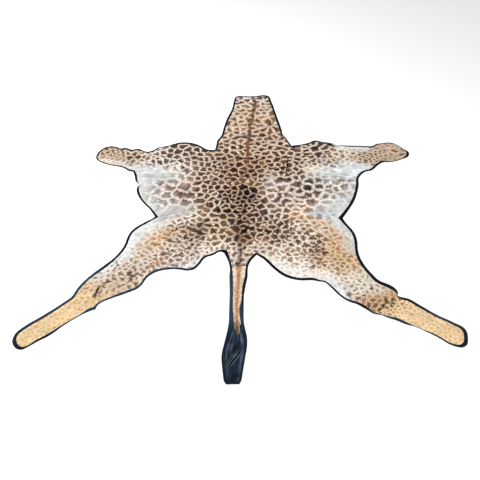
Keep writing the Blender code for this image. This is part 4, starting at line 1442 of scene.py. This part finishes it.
def buildTail():
    s = tailSizes
    skin, _ = closedSheet("tail_sheet", tailEdge, s, tailTop, tailUnder, [tailCoat, hideFlesh])
    spots = pointsOf(skin.data)[:, :2].astype(float)
    note(skin, "tailSpot", *tailSpot(spots))
    note(skin, "rootPlace", spots)
    note(skin, "hairShade", np.full(len(skin.data.polygons), 0.5), domain="FACE")
    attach(skin, "root")
    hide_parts("tail_skin")

    rng = np.random.default_rng(320)
    roots = netInside(tailEdge, s["hairStep"], 1.0 * mm)
    count = len(roots)
    roots = roots + rng.uniform(-0.5, 0.5, (count, 2)) * s["hairStep"] * 0.6
    across, down = tailSpot(roots)
    heading = -np.pi / 2 + s["splay"] * across + rng.normal(0, s["stray"], count)
    shapes = hairShapes(rng, count, s["sizes"], s["ranges"])
    shapes[0] *= 1.0 + s["fringe"] * ease(down, 0.85, 1.0)
    hair = lyingHair("tail_hair", roots, heading, shapes, tailTop, tailCoat, 321)
    note(hair, "tailSpot", np.repeat(across, 5), np.repeat(down, 5))
    note(hair, "rootPlace", np.repeat(roots, 5, axis=0))
    note(hair, "hairShade", np.repeat(rng.uniform(0, 1, count), 2), domain="FACE")
    return skin, hair


tail, tailHair = buildTail()
print("tail:", len(tail.data.polygons) + len(tailHair.data.polygons), "faces")


seamSizes = {"stitches": 21, "y": -0.5983, "left": -0.0515, "right": 0.0370, "jitter": 0.35 * mm,
             "reach": 5.2 * mm, "slant": 1.6 * mm, "radius": 0.55 * mm, "endRadius": 0.35,
             "sunk": 0.5 * mm, "arch": 1.9 * mm, "steps": 8, "sides": 8}


# Direction along each of several paths, and the direction to its side, level with the floor.
def frameOf(paths):
    along = np.gradient(paths, axis=1)
    along /= np.linalg.norm(along, axis=2, keepdims=True)
    side = np.cross(along, (0.0, 0.0, 1.0))
    return along, side / np.linalg.norm(side, axis=2, keepdims=True)


# Whip stitches: each is a round thread on the arch z = skin + arch x sin(pi t), t running over the
# seam from one skin to the other.
def buildSeam():
    s = seamSizes
    rng = np.random.default_rng(330)
    count = s["stitches"]
    x = np.linspace(s["left"], s["right"], count) + rng.normal(0, s["jitter"], count)
    t = np.linspace(0, 1, s["steps"] + 1)
    reach = s["reach"] * rng.uniform(0.85, 1.1, count)
    pathX = x[:, None] + s["slant"] * (t - 0.5)
    pathY = s["y"] + reach[:, None] * (0.5 - t) * 2
    flat = np.stack([pathX.ravel(), pathY.ravel()], axis=1)
    skin = np.where(flat[:, 1] > s["y"], hideTop(flat), tailTop(flat)).reshape(pathX.shape)
    skin = skin[:, :1] * (1 - t) + skin[:, -1:] * t
    pathZ = skin - s["sunk"] + s["arch"] * np.sin(np.pi * t)
    path = np.stack([pathX, pathY, pathZ], axis=2)
    along, side = frameOf(path)
    up = np.cross(side, along)
    turn = 2 * np.pi * np.arange(s["sides"]) / s["sides"]
    ends = (t == 0) | (t == 1)
    thick = s["radius"] * np.where(ends, s["endRadius"], 1.0)[None, :, None, None]
    places = path[:, :, None] + thick * (side[:, :, None] * np.cos(turn)[:, None]
                                         + up[:, :, None] * np.sin(turn)[:, None])
    k = s["sides"]
    ring = np.arange(k)
    quad = np.stack([ring, ring + k, (ring + 1) % k + k, (ring + 1) % k], axis=1)
    quads = (quad + k * np.arange(s["steps"])[:, None, None]).reshape(-1)
    caps = np.concatenate([ring, (ring + k * s["steps"])[::-1]])
    points = k * (s["steps"] + 1)
    corners = (np.concatenate([quads, caps]) + points * np.arange(count)[:, None]).ravel()
    sizes = np.tile(np.concatenate([np.full(k * s["steps"], 4), [k, k]]), count)
    seam = newPiece("tail_seam", places.reshape(-1, 3), corners, sizes, [waxedThread])
    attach(seam, "root")
    return seam


seam = buildSeam()


tuftSizes = {
    "hairs": 6600,
    "steps": 8,
    "width": 0.95 * mm,
    "clumps": 170,
    "start": (-1.180, -1.126),      # y of the roots
    "end": -1.500,                  # and of the tips, which reach on by up to this
    "reach": 0.062,
    "short": 0.22,                  # share of shorter hairs, and where these end
    "shortEnd": (-1.47, -1.26),
    "floor": 3.45 * mm,
    "own": (0.07, 0.65),            # spread off the clump, and the share of it gone at the tip
    "sways": ((0.05, 1.1), (0.02, 2.7)),    # reach and turns of a clump's sine and a hair's
    "mound": 0.45,                  # how much lower the pile is at the fan's sides
    "taper": 0.75,
    # y, middle x, half the fan's width and height of the pile (mm)
    "fan": [(-1120, -17, 17, 5.0), (-1150, -17, 21, 6.4), (-1200, -20, 34, 6.2),
            (-1260, -24, 49, 5.6), (-1330, -31, 58, 5.2), (-1400, -39, 56, 4.8),
            (-1470, -43, 50, 4.2), (-1530, -46, 45, 3.2), (-1566, -47, 42, 2.0)],
    "strays": 20,                   # pale hairs lying loose on top, slanting in strands
    "strayStart": (-1.37, -1.31),
    "strayEnd": (-1.48, -1.43),
    "straySlant": (0.50, 0.58),
    "strayMiddle": -1.38,
    "strands": (0, 0, -17, 25),     # mm from the fan's middle to each strand
}


# The tuft: flat ribbons that leave the tail's end in a fan. At share t a hair stands at the fan's
# middle plus its own part of the fan's width, swung by two sines; hairs of a clump draw together.
def buildTuft():
    s = tuftSizes
    rng = np.random.default_rng(340)
    count = s["hairs"]
    fan = np.array(s["fan"][::-1], float) * mm
    t = np.linspace(0, 1, s["steps"] + 1)
    clump = rng.integers(0, s["clumps"], count)
    home = np.sort(rng.uniform(-0.98, 0.98, s["clumps"]))[clump]
    layer = rng.uniform(0, 1, count)
    start = rng.uniform(*s["start"], count)
    reach = rng.uniform(0, 1, s["clumps"])[clump]
    end = s["end"] - s["reach"] * np.clip(0.55 * reach + 0.5 * rng.uniform(0, 1, count), 0, 1)
    short = rng.uniform(0, 1, count) < s["short"]
    end = np.where(short, rng.uniform(*s["shortEnd"], count), end)
    strays = np.arange(count) < s["strays"]
    start = np.where(strays, rng.uniform(*s["strayStart"], count), start)
    end = np.where(strays, rng.uniform(*s["strayEnd"], count), end)
    y = start[:, None] + (end - start)[:, None] * t
    middle, half, high = (np.interp(y, fan[:, 0], fan[:, k]) for k in (1, 2, 3))
    spread, drawn = s["own"]
    own = rng.normal(0, spread, count)[:, None] * (1.0 - drawn * t)
    swing = rng.uniform(0, 2 * np.pi, s["clumps"])[clump][:, None]
    (wide, turns), (fine, fineTurns) = s["sways"]
    sway = wide * np.sin(2 * np.pi * turns * t + swing)
    sway = sway + fine * np.sin(2 * np.pi * fineTurns * t + 3 * swing + own * 40)
    across = np.clip(home[:, None] + own + sway * t, -1.0, 1.0)
    x = middle + half * across
    pile = high * (1.0 - s["mound"] * across ** 2) * (0.08 + 0.92 * layer[:, None])
    z = s["floor"] + pile * (0.8 + 0.2 * np.cos(5 * t + swing))
    slant = np.where(strays, rng.uniform(*s["straySlant"], count), 0.0)[:, None]
    strand = np.array(s["strands"])[np.arange(count) % len(s["strands"])][:, None] * mm
    x = np.where(strays[:, None], middle + strand + 0.05 * half * (across - 0.3), x)
    x = x + slant * (y - s["strayMiddle"])
    x = np.clip(x, middle - half * 1.04, middle + half * 1.04)
    z = np.where(strays[:, None], s["floor"] + high * (1.05 - 0.4 * across ** 2), z)
    path = np.stack([x, y, z], axis=2)
    side = frameOf(path)[1]
    roll = rng.normal(0, 0.5, count)[:, None, None]
    side = side * np.cos(roll) + np.array([0.0, 0.0, 1.0]) * np.sin(roll)
    wide = s["width"] * rng.uniform(0.5, 1.2, count)[:, None] * (1.0 - s["taper"] * t ** 3) / 2
    wide = np.where(strays[:, None], wide * 1.1, wide)
    places = np.stack([path - side * wide[..., None], path + side * wide[..., None]], axis=2)
    row = 2 * np.arange(s["steps"])[:, None] + np.array([0, 1, 3, 2])
    points = 2 * (s["steps"] + 1)
    corners = (row.ravel() + points * np.arange(count)[:, None]).ravel()
    faces = s["steps"] * count
    tuft = newPiece("tuft", places.reshape(-1, 3), corners, np.full(faces, 4), [tuftHair])
    layMap(tuft, places.reshape(-1, 3)[corners])
    shade = 0.32 * rng.uniform(0, 1, count) + 0.48 * rng.uniform(0, 1, s["clumps"])[clump]
    # paler towards the fan's sides: painted sheen along the glossy hair
    shade = shade + 0.26 * ease(np.abs(home), 0.35, 0.9)
    note(tuft, "hairShade", np.repeat(shade, s["steps"]), domain="FACE")
    note(tuft, "hairPale", np.repeat(strays.astype(float), s["steps"]), domain="FACE")
    note(tuft, "hairShare", np.tile(np.repeat(t, 2), count))
    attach(tuft, "root")
    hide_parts("tail_tuft")
    return tuft


tuft = buildTuft()
print("tuft:", len(tuft.data.polygons), "faces")


stageLook = {
    "floor": (244, 244, 243),
    "sky": (0.97, 0.985, 1.0, 1.0),
    "skyStrength": 0.62,
    # each lamp's place, width and watts
    "lamps": {"key": ((-3.2, 0.8, 4.2), 2.6, 255.0), "fill": ((3.0, -2.5, 4.0), 3.0, 100.0)},
    "camera": (0.0, -3.805, 3.465),
    "aim": (0.0, -0.34, 0.0),
    "lens": 50.0,
    "sensor": 36.0,
    "squares": 12,              # of the floor, each way
}


# A wide pale floor, the camera, a soft sky and two area lamps that face the rug.
def setStage():
    s = stageLook
    camera = bpy.data.objects.new("camera", bpy.data.cameras.new("camera"))
    camera.data.lens = s["lens"]
    camera.data.sensor_width = s["sensor"]
    camera.data.clip_end = 100.0
    camera.location = s["camera"]
    aim = Vector(s["aim"]) - camera.location
    camera.rotation_euler = aim.to_track_quat("-Z", "Y").to_euler()
    bpy.context.scene.collection.objects.link(camera)
    bpy.context.scene.camera = camera

    material = newMaterial("paleFloor", Specular_IOR_Level=0.2)
    cloud, pale = noiseOf(onPiece(), 1.5), light(*s["floor"])
    dress(material, mixed(cloud, pale * 0.985, pale), between(cloud, 0.2, 0.8, 0.7, 0.85))
    count = s["squares"]
    x, y = np.meshgrid(np.linspace(-9, 9, count + 1), np.linspace(-8, 10, count + 1))
    places = np.column_stack([x.ravel(), y.ravel(), np.full(x.size, -0.1 * mm)])
    first = (np.arange(count)[:, None] * (count + 1) + np.arange(count)).ravel()
    corners = np.stack([first, first + 1, first + count + 2, first + count + 1], axis=1).ravel()
    floor = newPiece("floor", places, corners, np.full(count ** 2, 4), [material])

    world = bpy.data.worlds.new("room")
    world.use_nodes = True
    sky = world.node_tree.nodes["Background"]
    sky.inputs["Color"].default_value = s["sky"]
    sky.inputs["Strength"].default_value = s["skyStrength"]
    bpy.context.scene.world = world
    for name, (place, width, watts) in s["lamps"].items():
        lamp = bpy.data.lights.new(name, "AREA")
        lamp.size = width
        lamp.energy = watts
        holder = bpy.data.objects.new(name, lamp)
        holder.location = place
        holder.rotation_euler = (-Vector(place)).to_track_quat("-Z", "Y").to_euler()
        bpy.context.scene.collection.objects.link(holder)
    bpy.context.scene.view_settings.view_transform = "Standard"


setStage()
